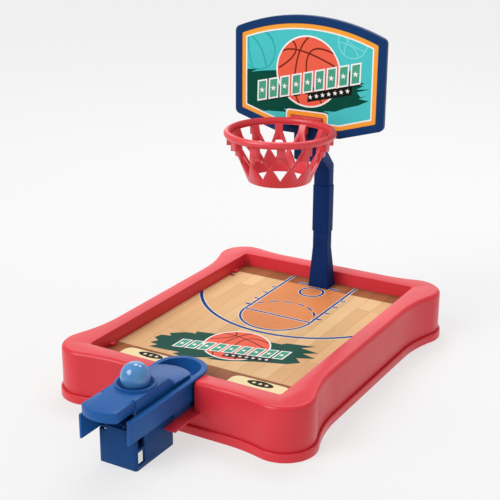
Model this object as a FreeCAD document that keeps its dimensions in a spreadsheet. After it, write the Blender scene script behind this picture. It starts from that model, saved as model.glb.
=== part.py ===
import FreeCAD, Part
import math
import os

import Sketcher

# Finger basketball machine: a sunk court in a moulded tray, a mast with a backboard and a
# one-piece hoop and net, and a sprung launcher in a gap in the front wall.
# X is across the court, +Y runs from the player to the hoop, Z is up. Every sub-part is drawn
# round the court's own datum (its lengthwise middle line at table level) and is then placed.

V = FreeCAD.Vector
PARTS = "parts"

SIZES = {
    # placing
    "court_shift": 38.9,
    # tray shell
    "rim_height": 43.0,
    "court_height": 30.5,
    "shell_half": 110.8,
    "waist_half": 101.0,
    "shell_front": -140.0,
    "shell_back": 145.5,
    "end_dip": 4.8,
    "corner_round": 24.0,
    "waist_round": 120.0,
    "rim_edge_round": 3.6,
    "well_half": 86.0,
    "well_front": -120.5,
    "well_back": 123.5,
    "well_corner": 3.0,
    "wall": 2.2,
    "rim_skin": 2.4,
    "gap_half": 21.6,
    "tongue_half": 26.6,
    "tongue_front": -168.3,
    "tongue_top": 19.2,
    "tongue_thick": 1.2,
    "fork_half": 16.7,
    "fork_end": -154.4,
    "boss_radius": 3.6,
    "boss_x": 66.0,
    "boss_front": -98.0,
    "boss_back": 100.0,
    "pilot_radius": 1.1,
    "pilot_depth": 12.0,
    # court card and its retaining tabs
    "card_thick": 0.8,
    "card_gap": 0.4,
    "tab_front": -92.5,
    "tab_back": 102.0,
    "tab_half": 2.8,
    "tab_reach": 3.6,
    "tab_thick": 2.0,
    "slot_offset": 8.6,
    "slot_half": 1.9,
    "slot_reach": 5.0,
    # bottom cover
    "cover_floor": 2.0,
    "lip_height": 6.8,
    "lip_reach": 1.9,
    "lip_gap": 0.3,
    # screws
    "screw_shank": 1.05,
    "screw_head": 2.5,
    "head_height": 1.1,
    "sink_radius": 2.8,
    "sink_depth": 1.2,
    "clear_radius": 1.3,
    # mast
    "mast_y": 113.0,
    "foot_half": 10.0,
    "foot_front": 106.6,
    "foot_back": 122.9,
    "neck_z": 69.4,
    "neck_half": 7.3,
    "neck_deep": 4.6,
    "collar_low": 84.5,
    "collar_high": 127.6,
    "collar_half": 8.0,
    "collar_deep": 5.4,
    "spigot_half": 6.6,
    "spigot_deep": 3.9,
    "spigot_gap": 0.05,
    "foot_top": 104.0,
    "upper_low": 108.0,
    "bend_rear": 146.6,
    "bend_front": 142.8,
    "arm_rear_z": 181.0,
    "arm_front_z": 167.6,
    "pad_back": 85.4,
    "pad_half": 14.0,
    "pad_low": 165.0,
    "pad_high": 216.0,
    # backboard
    "board_front": 76.9,
    "board_thick": 4.4,
    "board_half": 70.2,
    "board_low": 181.0,
    "board_level": 31.0,
    "board_side_low": 192.5,
    "board_side_high": 266.7,
    "board_crown": 281.3,
    "board_corner": 5.0,
    "board_rim": 6.8,
    "print_recess": 1.0,
    "print_thick": 0.7,
    "print_gap": 0.15,
    "print_corner": 1.6,
    "rear_recess": 1.2,
    "rear_rim": 4.0,
    "drop_half": 11.6,
    "drop_low": 157.5,
    # hoop
    "hoop_y": 30.5,
    "hoop_z": 192.4,
    "ring_radius": 43.2,
    "ring_tube": 3.0,
    "net_top_radius": 42.6,
    "net_low_radius": 26.4,
    "net_low": 153.0,
    "net_thick": 2.4,
    "strap_count": 12,
    "strap_half": 3.4,
    "plate_half": 15.0,
    "plate_low": 188.2,
    "plate_high": 196.5,
    # launcher housing
    "trough_half": 18.3,
    "trough_wall": 1.6,
    "trough_low": 26.0,
    "trough_top": 44.5,
    "trough_front": -220.0,
    "trough_round_y": -122.5,
    "flange_half": 21.2,
    "flange_thick": 1.6,
    "flange_front": -212.5,
    "floor_thick": 1.6,
    "floor_front": -199.4,
    "step_y": -121.2,
    "step_low": 31.9,
    "keel_half": 16.2,
    "keel_front": -154.2,
    "keel_gap": 0.1,
    # launcher stand
    "leg_half": 16.2,
    "leg_front": -201.9,
    "leg_back": -154.8,
    "leg_wall": 2.0,
    "shelf_low": 14.0,
    "shelf_top": 16.0,
    "window_front": -199.6,
    "window_back": -191.6,
    "window_low": 3.6,
    "window_high": 24.4,
    "front_lug_half": 9.0,
    "front_lug_top": 30.2,
    "post_radius": 3.2,
    "post_front": -191.4,
    "post_back": -162.0,
    # lever
    "pivot_y": -130.0,
    "pivot_z": 36.0,
    "pin_radius": 1.5,
    "pin_play": 0.06,
    "lever_half": 14.8,
    "lever_wall": 1.8,
    "lever_top": 54.0,
    "paddle_front": -225.2,
    "paddle_corner": -220.6,
    "paddle_low": 46.2,
    "notch_front": -200.2,
    "notch_back": -198.6,
    "notch_deep": 2.4,
    "skirt_low": 40.0,
    "block_back": -158.0,
    "slope_y": -151.5,
    "slope_z": 48.3,
    "tail_end": -124.0,
    "tail_z": 45.9,
    "tail_half": 16.2,
    "tail_thick": 1.8,
    "cup_y": -178.0,
    "cup_radius": 15.0,
    "cup_top": 56.2,
    "cup_low": 47.0,
    "bowl_mouth": 13.5,
    "bowl_deep": 7.0,
    "spring_hole": 7.0,
    # spring and ball
    "spring_radius": 4.2,
    "spring_wire": 0.5,
    "spring_turns": 9.0,
    "ball_radius": 11.0,
    "ball_gap": 0.05,
}

doc = FreeCAD.newDocument("basketball_hoop_machine")


def make_sheet():
    sheet = doc.addObject("Spreadsheet::Sheet", "Sizes")
    for row, (alias, number) in enumerate(SIZES.items(), start=1):
        sheet.set("A%d" % row, alias)
        sheet.set("B%d" % row, str(number))
        sheet.setAlias("B%d" % row, alias)
    doc.recompute()
    return sheet


sheet = make_sheet()


def size(alias):
    return float(sheet.get(alias))


def bound(text):
    """Put the sheet's name before each alias of an expression."""
    words = []
    for word in text.replace("(", "( ").replace(")", " )").split():
        sign = "-" if word.startswith("-") and word[1:] in SIZES else ""
        name = word[len(sign):]
        words.append(sign + ("Sizes." + name if name in SIZES else name))
    return " ".join(words)


def amount(text):
    result = sheet.evalExpression(bound(str(text)))
    return float(getattr(result, "Value", result))


# ---------------------------------------------------------------- bodies and sketches

def new_body(label):
    body = doc.addObject("PartDesign::Body", label)
    body.Label = label
    body.setExpression("Placement.Base.y", "Sizes.court_shift")
    return body


def plane(body, role):
    return next(item for item in body.Origin.OriginFeatures if item.Role == role)


def new_sketch(body, role, offset="0"):
    """A sketch on an origin plane of the body, offset along that plane's normal."""
    sketch = body.newObject("Sketcher::SketchObject", body.Label + "_sketch")
    sketch.AttachmentSupport = [(plane(body, role), "")]
    sketch.MapMode = "FlatFace"
    sketch.setExpression("AttachmentOffset.Base.z", bound(offset))
    return sketch


def pin_point(sketch, geometry, vertex, across, up):
    for kind, text in (("DistanceX", across), ("DistanceY", up)):
        number = sketch.addConstraint(
            Sketcher.Constraint(kind, -1, 1, geometry, vertex, amount(text)))
        sketch.setExpression("Constraints[%d]" % number, bound(str(text)))


def add_polygon(sketch, corners):
    """A closed outline of straight lines, each corner bound to the sheet."""
    points = [V(amount(a), amount(b), 0) for a, b in corners]
    first = sketch.GeometryCount
    for index, point in enumerate(points):
        sketch.addGeometry(Part.LineSegment(point, points[(index + 1) % len(points)]))
    for index in range(len(points)):
        following = first + (index + 1) % len(points)
        sketch.addConstraint(Sketcher.Constraint("Coincident", first + index, 2, following, 1))
    for index, (across, up) in enumerate(corners):
        pin_point(sketch, first + index, 1, across, up)


def add_rectangle(sketch, left, right, low, high):
    add_polygon(sketch, [(left, low), (right, low), (right, high), (left, high)])


def add_circle(sketch, across, up, radius):
    circle = Part.Circle(V(amount(across), amount(up), 0), V(0, 0, 1), amount(radius))
    geometry = sketch.addGeometry(circle)
    pin_point(sketch, geometry, 3, across, up)
    number = sketch.addConstraint(Sketcher.Constraint("Radius", geometry, amount(radius)))
    sketch.setExpression("Constraints[%d]" % number, bound(str(radius)))


def extrude(body, kind, sketch, length, reverse=False, both=False):
    feature = body.newObject("PartDesign::" + kind, body.Label + "_" + kind.lower())
    feature.Profile = sketch
    feature.setExpression("Length", bound(str(length)))
    feature.Reversed = reverse
    if both:
        feature.SideType = "Symmetric"
    doc.recompute()
    return feature


def add_pad(body, sketch, length, reverse=False, both=False):
    return extrude(body, "Pad", sketch, length, reverse, both)


def cut_pocket(body, sketch, length, reverse=False, both=False):
    """Cut a pocket and check that it took material away."""
    before = body.Shape.Volume
    feature = extrude(body, "Pocket", sketch, length, reverse, both)
    if body.Shape.Volume > before - 0.01:
        raise RuntimeError(body.Label + ": a pocket cut nothing")
    return feature


def round_edges(body, radius, chosen):
    base = body.Tip
    names = ["Edge%d" % (n + 1) for n, edge in enumerate(base.Shape.Edges) if chosen(edge)]
    fillet = body.newObject("PartDesign::Fillet", body.Label + "_fillet")
    fillet.Base = (base, names)
    fillet.setExpression("Radius", bound(str(radius)))
    doc.recompute()
    if "Invalid" in fillet.State:
        raise RuntimeError("%s: edges %s can't be rounded" % (body.Label, names))
    return fillet


def revolve(body, kind, sketch, axis):
    feature = body.newObject("PartDesign::" + kind, body.Label + "_" + kind.lower())
    feature.Profile = sketch
    feature.ReferenceAxis = (sketch, [axis])
    feature.Angle = 360
    doc.recompute()
    if "Invalid" in feature.State:
        raise RuntimeError(body.Label + ": a profile can't be revolved")
    return feature


def all_near(edge, axis, value, room=0.01):
    box = edge.BoundBox
    low = (box.XMin, box.YMin, box.ZMin)[axis]
    high = (box.XMax, box.YMax, box.ZMax)[axis]
    return abs(low - value) < room and abs(high - value) < room


def is_upright(edge):
    box = edge.BoundBox
    return box.XLength < 0.01 and box.YLength < 0.01 and box.ZLength > 0.5


# ---------------------------------------------------------------- base

def add_shell_outline(sketch, inset):
    """The tray's outline, drawn in by inset: round corners, dipped sides and ends.

    Each corner is a convex arc that turns into a wide concave arc and then into the
    straight stretch of the waist, all tangent.
    """
    middle = (size("shell_front") + size("shell_back")) / 2
    corner = size("corner_round") - inset
    hollow = size("waist_round") + inset
    half_width = size("shell_half") - inset
    half_length = (size("shell_back") - size("shell_front")) / 2 - inset
    centre_x = half_width - corner
    centre_y = half_length - corner
    side_x = size("waist_half") - inset
    end_y = half_length - size("end_dip")
    reach = corner + hollow
    side_run = math.sqrt(reach ** 2 - (side_x + hollow - centre_x) ** 2)
    end_run = math.sqrt(reach ** 2 - (end_y + hollow - centre_y) ** 2)
    centre = V(centre_x, centre_y, 0)
    side_centre = V(side_x + hollow, centre_y - side_run, 0)
    end_centre = V(centre_x - end_run, end_y + hollow, 0)

    def on_circle(middle_point, toward, radius):
        return middle_point + (toward - middle_point).normalize() * radius

    side_start = V(side_x, side_centre.y, 0)
    side_join = on_circle(centre, side_centre, corner)
    side_bend = on_circle(side_centre, (side_start + side_join) / 2, hollow)
    end_join = on_circle(centre, end_centre, corner)
    end_start = V(end_centre.x, end_y, 0)
    end_bend = on_circle(end_centre, (end_start + end_join) / 2, hollow)
    corner_top = on_circle(centre, centre + V(1, 1, 0), corner)

    def corner_curves(mirror_x, mirror_y):
        def place(point):
            return V(point.x * mirror_x, point.y * mirror_y + middle, 0)
        yield Part.Arc(place(side_start), place(side_bend), place(side_join))
        yield Part.Arc(place(side_join), place(corner_top), place(end_join))
        yield Part.Arc(place(end_join), place(end_bend), place(end_start))

    for mirror_x in (1, -1):
        for mirror_y in (1, -1):
            for curve in corner_curves(mirror_x, mirror_y):
                sketch.addGeometry(curve)
        side = mirror_x * side_x
        sketch.addGeometry(Part.LineSegment(
            V(side, middle - side_start.y, 0), V(side, middle + side_start.y, 0)))
    for mirror_y in (1, -1):
        level = middle + mirror_y * end_y
        sketch.addGeometry(Part.LineSegment(
            V(-end_start.x, level, 0), V(end_start.x, level, 0)))


def make_base_shell():
    body = new_body("base_shell")
    outline = new_sketch(body, "XY_Plane", "cover_floor")
    add_shell_outline(outline, 0.0)
    add_pad(body, outline, "rim_height - cover_floor")
    top = size("rim_height")
    round_edges(body, "rim_edge_round", lambda edge: all_near(edge, 2, top))

    well = new_sketch(body, "XY_Plane", "rim_height")
    add_rectangle(well, "-well_half", "well_half", "well_front", "well_back")
    cut_pocket(body, well, "rim_height - court_height")
    corners = (size("well_front"), size("well_back"))
    round_edges(body, "well_corner", lambda edge: is_upright(edge)
                and abs(abs(edge.BoundBox.XMin) - size("well_half")) < 0.01
                and min(abs(edge.BoundBox.YMin - y) for y in corners) < 0.01)

    under = new_sketch(body, "XY_Plane", "cover_floor")
    add_shell_outline(under, size("wall"))
    cut_pocket(body, under, "court_height - wall - cover_floor", reverse=True)
    ring = new_sketch(body, "XY_Plane", "cover_floor")
    add_shell_outline(ring, size("wall"))
    add_rectangle(ring, "-( well_half + wall )", "well_half + wall",
                  "well_front - wall", "well_back + wall")
    cut_pocket(body, ring, "rim_height - rim_skin - cover_floor", reverse=True)

    throat = new_sketch(body, "XY_Plane", "tongue_top - wall")
    add_rectangle(throat, "-( gap_half + wall )", "gap_half + wall",
                  "shell_front + end_dip + wall / 2", "well_front")
    add_pad(body, throat, "rim_height - rim_skin / 2 - ( tongue_top - wall )")
    end_wall = new_sketch(body, "XY_Plane", "tongue_top - wall")
    add_rectangle(end_wall, "-( gap_half + wall )", "gap_half + wall",
                  "well_front - wall", "well_front + wall")
    add_pad(body, end_wall, "court_height - wall / 2 - ( tongue_top - wall )")
    tongue = new_sketch(body, "XY_Plane", "tongue_top - tongue_thick")
    add_polygon(tongue, [
        ("-tongue_half", "tongue_front"), ("-fork_half", "tongue_front"),
        ("-fork_half", "fork_end"), ("fork_half", "fork_end"),
        ("fork_half", "tongue_front"), ("tongue_half", "tongue_front"),
        ("tongue_half", "well_front - wall"), ("-tongue_half", "well_front - wall")])
    add_pad(body, tongue, "tongue_thick")
    gap = new_sketch(body, "XY_Plane", "rim_height + wall")
    add_rectangle(gap, "-gap_half", "gap_half", "shell_front - wall", "well_front")
    cut_pocket(body, gap, "rim_height + wall - tongue_top")

    bosses = new_sketch(body, "XY_Plane", "cover_floor")
    for x in ("-boss_x", "boss_x"):
        for y in ("boss_front", "boss_back"):
            add_circle(bosses, x, y, "boss_radius")
    add_pad(body, bosses, "court_height - wall / 2 - cover_floor")
    pilots = new_sketch(body, "XY_Plane", "cover_floor")
    for x in ("-boss_x", "boss_x"):
        for y in ("boss_front", "boss_back"):
            add_circle(pilots, x, y, "pilot_radius")
    cut_pocket(body, pilots, "pilot_depth", reverse=True)

    tabs = new_sketch(body, "XY_Plane", "court_height + card_thick + card_gap")
    for side in ("", "-"):
        for y in ("tab_front", "tab_back"):
            add_rectangle(tabs, side + "( well_half - tab_reach )", side + "( well_half + wall / 2 )",
                          y + " - tab_half", y + " + tab_half")
    add_pad(body, tabs, "tab_thick")
    holes = new_sketch(body, "XY_Plane", "court_height + wall")
    for side in ("", "-"):
        for y in ("tab_front", "tab_back"):
            add_rectangle(holes, side + "( well_half - slot_reach )", side + "( well_half - card_gap )",
                          y + " - slot_offset - slot_half", y + " - slot_offset + slot_half")
    add_mast_holes(holes)
    cut_pocket(body, holes, "3 * wall")
    return body


def add_mast_holes(sketch):
    """Clearance holes for the two screws that hold the mast foot."""
    for x in ("-foot_half / 2", "foot_half / 2"):
        add_circle(sketch, x, "( foot_front + foot_back ) / 2", "clear_radius")


def make_base_cover():
    body = new_body("base_cover")
    outline = new_sketch(body, "XY_Plane")
    add_shell_outline(outline, -size("lip_reach"))
    add_pad(body, outline, "lip_height")
    top = size("lip_height")
    round_edges(body, "lip_reach / 2", lambda edge: all_near(edge, 2, top))
    inside = new_sketch(body, "XY_Plane", "lip_height")
    add_shell_outline(inside, -size("lip_gap"))
    cut_pocket(body, inside, "lip_height - cover_floor")
    holes = new_sketch(body, "XY_Plane")
    sinks = new_sketch(body, "XY_Plane")
    for x in ("-boss_x", "boss_x"):
        for y in ("boss_front", "boss_back"):
            add_circle(holes, x, y, "clear_radius")
            add_circle(sinks, x, y, "sink_radius")
    cut_pocket(body, holes, "cover_floor", reverse=True)
    cut_pocket(body, sinks, "sink_depth", reverse=True)
    return body


def make_court_card():
    body = new_body("court_card")
    outline = new_sketch(body, "XY_Plane", "court_height")
    add_rectangle(outline, "-( well_half - card_gap )", "well_half - card_gap",
                  "well_front + card_gap", "well_back - card_gap")
    add_pad(body, outline, "card_thick")
    round_edges(body, "well_corner", lambda edge: edge.BoundBox.ZLength > 0.5)
    cuts = new_sketch(body, "XY_Plane", "court_height + card_thick")
    add_rectangle(cuts, "-( foot_half + card_gap )", "foot_half + card_gap",
                  "foot_front - card_gap", "well_back")
    for side in ("", "-"):
        for y in ("tab_front", "tab_back"):
            add_rectangle(cuts, side + "( well_half - slot_reach )", side + "( well_half + wall )",
                          y + " - slot_offset - slot_half", y + " - slot_offset + slot_half")
    cut_pocket(body, cuts, "card_thick")
    return body


# ---------------------------------------------------------------- screws and pin

def make_screw(label, shank_length, position, rotation):
    """A cross-head screw: its head's outer face is at the local origin, its shank along +Z."""
    body = doc.addObject("PartDesign::Body", label)
    body.Label = label
    sketch = new_sketch(body, "XZ_Plane")
    add_polygon(sketch, [
        ("0", "0"), ("screw_head", "0"), ("screw_head", "head_height"),
        ("screw_shank", "head_height"), ("screw_shank", shank_length),
        ("0", shank_length + " + screw_shank")])
    revolve(body, "Revolution", sketch, "V_Axis")
    cross = new_sketch(body, "XY_Plane")
    arm = "screw_head * 0.62"
    blade = "screw_head * 0.14"
    add_polygon(cross, [
        ("-" + blade, "-" + arm), (blade, "-" + arm), (blade, "-" + blade), (arm, "-" + blade),
        (arm, blade), (blade, blade), (blade, arm), ("-" + blade, arm), ("-" + blade, blade),
        ("-" + arm, blade), ("-" + arm, "-" + blade), ("-" + blade, "-" + blade)])
    cut_pocket(body, cross, "head_height * 0.6", reverse=True)
    body.Placement = FreeCAD.Placement(V(position[0], position[1], position[2]), rotation)
    for axis, text in zip("xyz", position[3]):
        body.setExpression("Placement.Base." + axis, bound(text))
    return body


def screw_at(label, shank_length, x, y, z, rotation):
    texts = (x, y + " + court_shift", z)
    numbers = [amount(text) for text in texts]
    return make_screw(label, shank_length, numbers + [texts], rotation)


def make_screws():
    upward = FreeCAD.Rotation()
    downward = FreeCAD.Rotation(V(1, 0, 0), 180)
    forward = FreeCAD.Rotation(V(1, 0, 0), 90)
    screws = []
    corners = [(x, y) for x in ("-boss_x", "boss_x") for y in ("boss_front", "boss_back")]
    for number, (x, y) in enumerate(corners, start=1):
        screws.append(screw_at("base_screw_%d" % number, "11", x, y,
                               "sink_depth - head_height", upward))
    sides = {"left": "-", "right": ""}
    for side, sign in sides.items():
        screws.append(screw_at("mast_screw_" + side, "10", sign + "foot_half / 2",
                               "( foot_front + foot_back ) / 2",
                               "court_height - wall - head_height", upward))
        screws.append(screw_at("board_screw_" + side, "7", sign + "( pad_half - 4 )",
                               "pad_back + head_height", "pad_high - 6", forward))
        screws.append(screw_at("hoop_screw_" + side, "9.2", sign + "( plate_half - 4 )",
                               "pad_back + head_height", "hoop_z", forward))
    for name, y in (("front", "post_front"), ("back", "post_back")):
        screws.append(screw_at("stand_screw_" + name, "9", "0", y,
                               "trough_low + floor_thick + head_height", downward))
    return screws


def make_lever_pin():
    body = new_body("lever_pin")
    sketch = new_sketch(body, "YZ_Plane")
    add_circle(sketch, "pivot_y", "pivot_z", "pin_radius")
    add_pad(body, sketch, "2 * trough_half - 0.2", both=True)
    return body


# ---------------------------------------------------------------- mast

def make_mast_foot():
    body = new_body("mast_foot")
    base = new_sketch(body, "XY_Plane", "court_height")
    add_rectangle(base, "-foot_half", "foot_half", "foot_front", "foot_back")
    neck = new_sketch(body, "XY_Plane", "neck_z")
    add_rectangle(neck, "-neck_half", "neck_half", "mast_y - neck_deep", "mast_y + neck_deep")
    loft = body.newObject("PartDesign::AdditiveLoft", "mast_foot_loft")
    loft.Profile = base
    loft.Sections = [neck]
    doc.recompute()
    round_edges(body, "1", lambda edge: edge.BoundBox.ZLength > 30)
    post = new_sketch(body, "XY_Plane", "neck_z")
    add_rectangle(post, "-neck_half", "neck_half", "mast_y - neck_deep", "mast_y + neck_deep")
    add_pad(body, post, "collar_low - neck_z")
    round_edges(body, "0.9", lambda edge: is_upright(edge) and edge.BoundBox.ZLength > 12)
    spigot = new_sketch(body, "XY_Plane", "collar_low")
    add_rectangle(spigot, "-spigot_half", "spigot_half",
                  "mast_y - spigot_deep", "mast_y + spigot_deep")
    add_pad(body, spigot, "foot_top - collar_low")
    pilots = new_sketch(body, "XY_Plane", "court_height")
    for x in ("-foot_half / 2", "foot_half / 2"):
        add_circle(pilots, x, "( foot_front + foot_back ) / 2", "pilot_radius")
    cut_pocket(body, pilots, "pilot_depth", reverse=True)
    return body


def make_mast_sleeve():
    body = new_body("mast_sleeve")
    outside = new_sketch(body, "XY_Plane", "collar_low")
    add_rectangle(outside, "-collar_half", "collar_half",
                  "mast_y - collar_deep", "mast_y + collar_deep")
    add_pad(body, outside, "collar_high - collar_low")
    round_edges(body, "1.2", is_upright)
    ends = (size("collar_low"), size("collar_high"))
    round_edges(body, "0.5", lambda edge: min(abs(edge.BoundBox.ZMin - z) for z in ends) < 0.01
                and edge.BoundBox.ZLength < 0.01)
    inside = new_sketch(body, "XY_Plane", "collar_high")
    add_rectangle(inside, "-( spigot_half + spigot_gap )", "spigot_half + spigot_gap",
                  "mast_y - spigot_deep - spigot_gap", "mast_y + spigot_deep + spigot_gap")
    cut_pocket(body, inside, "collar_high - collar_low")
    return body


def make_mast_upper():
    """The upright over the collar, its arm leaning to the board, and the board's seat."""
    body = new_body("mast_upper")
    profile = new_sketch(body, "YZ_Plane")
    back = "board_front + board_thick"
    add_polygon(profile, [
        ("mast_y - neck_deep", "collar_high"), ("mast_y + neck_deep", "collar_high"),
        ("mast_y + neck_deep", "bend_rear"), ("pad_back", "arm_rear_z"),
        ("pad_back", "pad_low + 14"), (back, "pad_low + 14"), (back, "arm_front_z"),
        ("mast_y - neck_deep", "bend_front")])
    add_pad(body, profile, "2 * neck_half", both=True)
    seat = new_sketch(body, "XZ_Plane", "-( board_front + board_thick )")
    add_rectangle(seat, "-pad_half", "pad_half", "pad_low", "pad_high")
    add_pad(body, seat, "pad_back - board_front - board_thick", reverse=True)
    round_edges(body, "2", lambda edge: edge.BoundBox.YLength > 3 and edge.BoundBox.XLength < 0.01
                and edge.BoundBox.ZLength < 0.01 and abs(abs(edge.BoundBox.XMin) - size("pad_half")) < 0.01)
    spigot = new_sketch(body, "XY_Plane", "upper_low")
    add_rectangle(spigot, "-spigot_half", "spigot_half",
                  "mast_y - spigot_deep", "mast_y + spigot_deep")
    add_pad(body, spigot, "collar_high - upper_low")
    holes = new_sketch(body, "XZ_Plane", "-pad_back - wall")
    for side in ("", "-"):
        add_circle(holes, side + "( pad_half - 4 )", "pad_high - 6", "clear_radius")
        add_circle(holes, side + "( plate_half - 4 )", "hoop_z", "clear_radius")
    cut_pocket(body, holes, "8", reverse=True)
    return body


# ---------------------------------------------------------------- backboard

def add_board_outline(sketch, inset, drop):
    """The board's outline, drawn in by inset, with the tab under its middle if drop is set."""
    half = size("board_half") - inset
    low = size("board_low") + inset
    rise = (size("board_side_low") - size("board_low")) / (size("board_half") - size("board_level"))
    level = size("board_level") - inset * 0.15
    side_low = low + (half - level) * rise
    chord = size("board_half")
    sagitta = size("board_crown") - size("board_side_high")
    crown_radius = (chord ** 2 + sagitta ** 2) / (2 * sagitta) - inset
    crown = size("board_crown") - inset
    side_high = crown - crown_radius + math.sqrt(crown_radius ** 2 - half ** 2)
    points = [V(-level, low, 0), V(-half, side_low, 0), V(-half, side_high, 0)]
    back = [V(half, side_high, 0), V(half, side_low, 0), V(level, low, 0)]
    if drop:
        tab = size("drop_half")
        bottom = size("drop_low")
        back += [V(tab, low, 0), V(tab, bottom, 0), V(-tab, bottom, 0), V(-tab, low, 0)]
    for start, end in zip(points, points[1:]):
        sketch.addGeometry(Part.LineSegment(start, end))
    sketch.addGeometry(Part.Arc(points[-1], V(0, crown, 0), back[0]))
    for start, end in zip(back, back[1:] + points[:1]):
        sketch.addGeometry(Part.LineSegment(start, end))


def is_board_corner(edge, inset=0.0):
    box = edge.BoundBox
    across = box.YLength > 0.3 and box.XLength < 0.01 and box.ZLength < 0.01
    return across and abs(abs(box.XMin) - size("board_half") + inset) < 0.01


def make_backboard_frame():
    body = new_body("backboard_frame")
    outline = new_sketch(body, "XZ_Plane", "-board_front")
    add_board_outline(outline, 0.0, True)
    add_pad(body, outline, "board_thick", reverse=True)
    round_edges(body, "board_corner", is_board_corner)
    tip = size("drop_low")
    round_edges(body, "2.5", lambda edge: edge.BoundBox.YLength > 3 and edge.BoundBox.XLength < 0.01
                and all_near(edge, 2, tip))
    front = size("board_front")
    round_edges(body, "0.8", lambda edge: all_near(edge, 1, front))
    recess = new_sketch(body, "XZ_Plane", "-board_front")
    add_board_outline(recess, size("board_rim"), False)
    cut_pocket(body, recess, "print_recess")
    round_edges(body, "print_corner", lambda edge: is_board_corner(edge, size("board_rim")))
    hollow = new_sketch(body, "XZ_Plane", "-( board_front + board_thick )")
    add_board_outline(hollow, size("rear_rim"), False)
    add_rectangle(hollow, "-( pad_half + 3 )", "pad_half + 3", "board_low + rear_rim + 2", "pad_high + 3")
    cut_pocket(body, hollow, "rear_recess", reverse=True)
    pilots = new_sketch(body, "XZ_Plane", "-( board_front + board_thick )")
    holes = new_sketch(body, "XZ_Plane", "-( board_front + board_thick )")
    for side in ("", "-"):
        add_circle(pilots, side + "( pad_half - 4 )", "pad_high - 6", "pilot_radius")
        add_circle(holes, side + "( plate_half - 4 )", "hoop_z", "clear_radius")
    cut_pocket(body, pilots, "3", reverse=True)
    cut_pocket(body, holes, "board_thick", reverse=True)
    return body


def make_backboard_print():
    body = new_body("backboard_print")
    outline = new_sketch(body, "XZ_Plane", "-( board_front + print_recess )")
    inset = size("board_rim") + size("print_gap")
    add_board_outline(outline, inset, False)
    add_pad(body, outline, "print_thick")
    round_edges(body, "print_corner", lambda edge: is_board_corner(edge, inset))
    notch = new_sketch(body, "XZ_Plane", "-( board_front + print_recess )")
    add_rectangle(notch, "-( plate_half + 2 * print_gap )", "plate_half + 2 * print_gap",
                  "board_low", "plate_high + 2 * print_gap")
    cut_pocket(body, notch, "board_thick", both=True)
    return body


# ---------------------------------------------------------------- hoop and net

def radial_cutter(points, angle, reach):
    """A prism through the net's wall, drawn as (sideways, height) points facing the angle."""
    corners = [V(0, across, up) for across, up in points]
    face = Part.Face(Part.makePolygon(corners + corners[:1]))
    prism = face.extrude(V(reach, 0, 0))
    prism.rotate(V(0, 0, 0), V(0, 0, 1), angle)
    return prism


def make_hoop_net():
    """Ring, straps, lattice, bottom band and rear plate, moulded in one piece."""
    ring_radius = size("ring_radius")
    tube = size("ring_tube")
    top = size("hoop_z")
    low = size("net_low")
    thick = size("net_thick")
    wide = size("net_top_radius")
    narrow = size("net_low_radius")
    depth = top - low
    ring = Part.makeTorus(ring_radius, tube, V(0, 0, top))
    wall = Part.makePolygon([
        V(wide, 0, top), V(narrow, 0, low), V(narrow - thick, 0, low),
        V(wide - thick, 0, top), V(wide, 0, top)])
    net = Part.Face(wall).revolve(V(0, 0, 0), V(0, 0, 1), 360)

    count = int(size("strap_count"))
    step = 360.0 / count
    strap = size("strap_half")
    bar = 1.5
    split = top - 0.30 * depth
    node = top - 0.52 * depth
    apex = top - 0.86 * depth
    ring_line = top - tube * 0.7
    half_pitch = math.pi / count * (wide + narrow) / 2
    top_half = math.pi / count * wide - strap
    cutters = []
    for number in range(count):
        between = [(-top_half, ring_line), (top_half, ring_line),
                   (top_half * 0.92, split + bar), (0, node + 2 * bar), (-top_half * 0.92, split + bar)]
        diamond = [(0, split - bar), (half_pitch - 1.6 * bar, node), (0, apex), (1.6 * bar - half_pitch, node)]
        cutters.append(radial_cutter(between, (number + 0.5) * step, 60))
        cutters.append(radial_cutter(diamond, number * step, 60))
    net = net.cut(cutters)

    front = size("board_front") + size("print_recess") - size("hoop_y")
    back_edge = ring_radius - tube * 0.5
    plate_half = size("plate_half")
    plate_low = size("plate_low")
    plate_high = size("plate_high")
    plate = Part.makeBox(2 * plate_half, 2.6, plate_high - plate_low,
                         V(-plate_half, front - 2.6, plate_low))
    plate = plate.makeFillet(1.0, [edge for edge in plate.Edges if all_near(edge, 1, front - 2.6)])
    arm = Part.makeBox(16.0, front - back_edge, 5.0, V(-8.0, back_edge, top - 2.5))
    gusset = Part.Face(Part.makePolygon([
        V(-1.2, front, plate_low + 1), V(-1.2, front, top), V(-1.2, back_edge - 3, top - 1),
        V(-1.2, front, plate_low + 1)])).extrude(V(2.4, 0, 0))
    bore = Part.makeCylinder(ring_radius - tube, 20, V(0, 0, top - 6))
    fixing = plate.fuse([arm, gusset]).cut(bore)
    shape = ring.fuse([net, fixing])
    for side in (-1, 1):
        hole = Part.makeCylinder(size("pilot_radius"), 2.0,
                                 V(side * (plate_half - 4), front, top), V(0, -1, 0))
        shape = shape.cut(hole)
    feature = doc.addObject("Part::Feature", "hoop_net")
    feature.Label = "hoop_net"
    feature.Shape = shape.Solids[0] if len(shape.Solids) == 1 else shape
    feature.Placement = FreeCAD.Placement(
        V(0, size("hoop_y") + size("court_shift"), 0), FreeCAD.Rotation())
    return feature


# ---------------------------------------------------------------- launcher

def add_trough_outline(sketch, half):
    """A straight trough with a round far end."""
    half_width = amount(half)
    front = size("trough_front")
    centre = size("trough_round_y")
    sketch.addGeometry(Part.LineSegment(V(-half_width, centre, 0), V(-half_width, front, 0)))
    sketch.addGeometry(Part.LineSegment(V(-half_width, front, 0), V(half_width, front, 0)))
    sketch.addGeometry(Part.LineSegment(V(half_width, front, 0), V(half_width, centre, 0)))
    sketch.addGeometry(Part.Arc(
        V(half_width, centre, 0), V(0, centre + half_width, 0), V(-half_width, centre, 0)))


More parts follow.
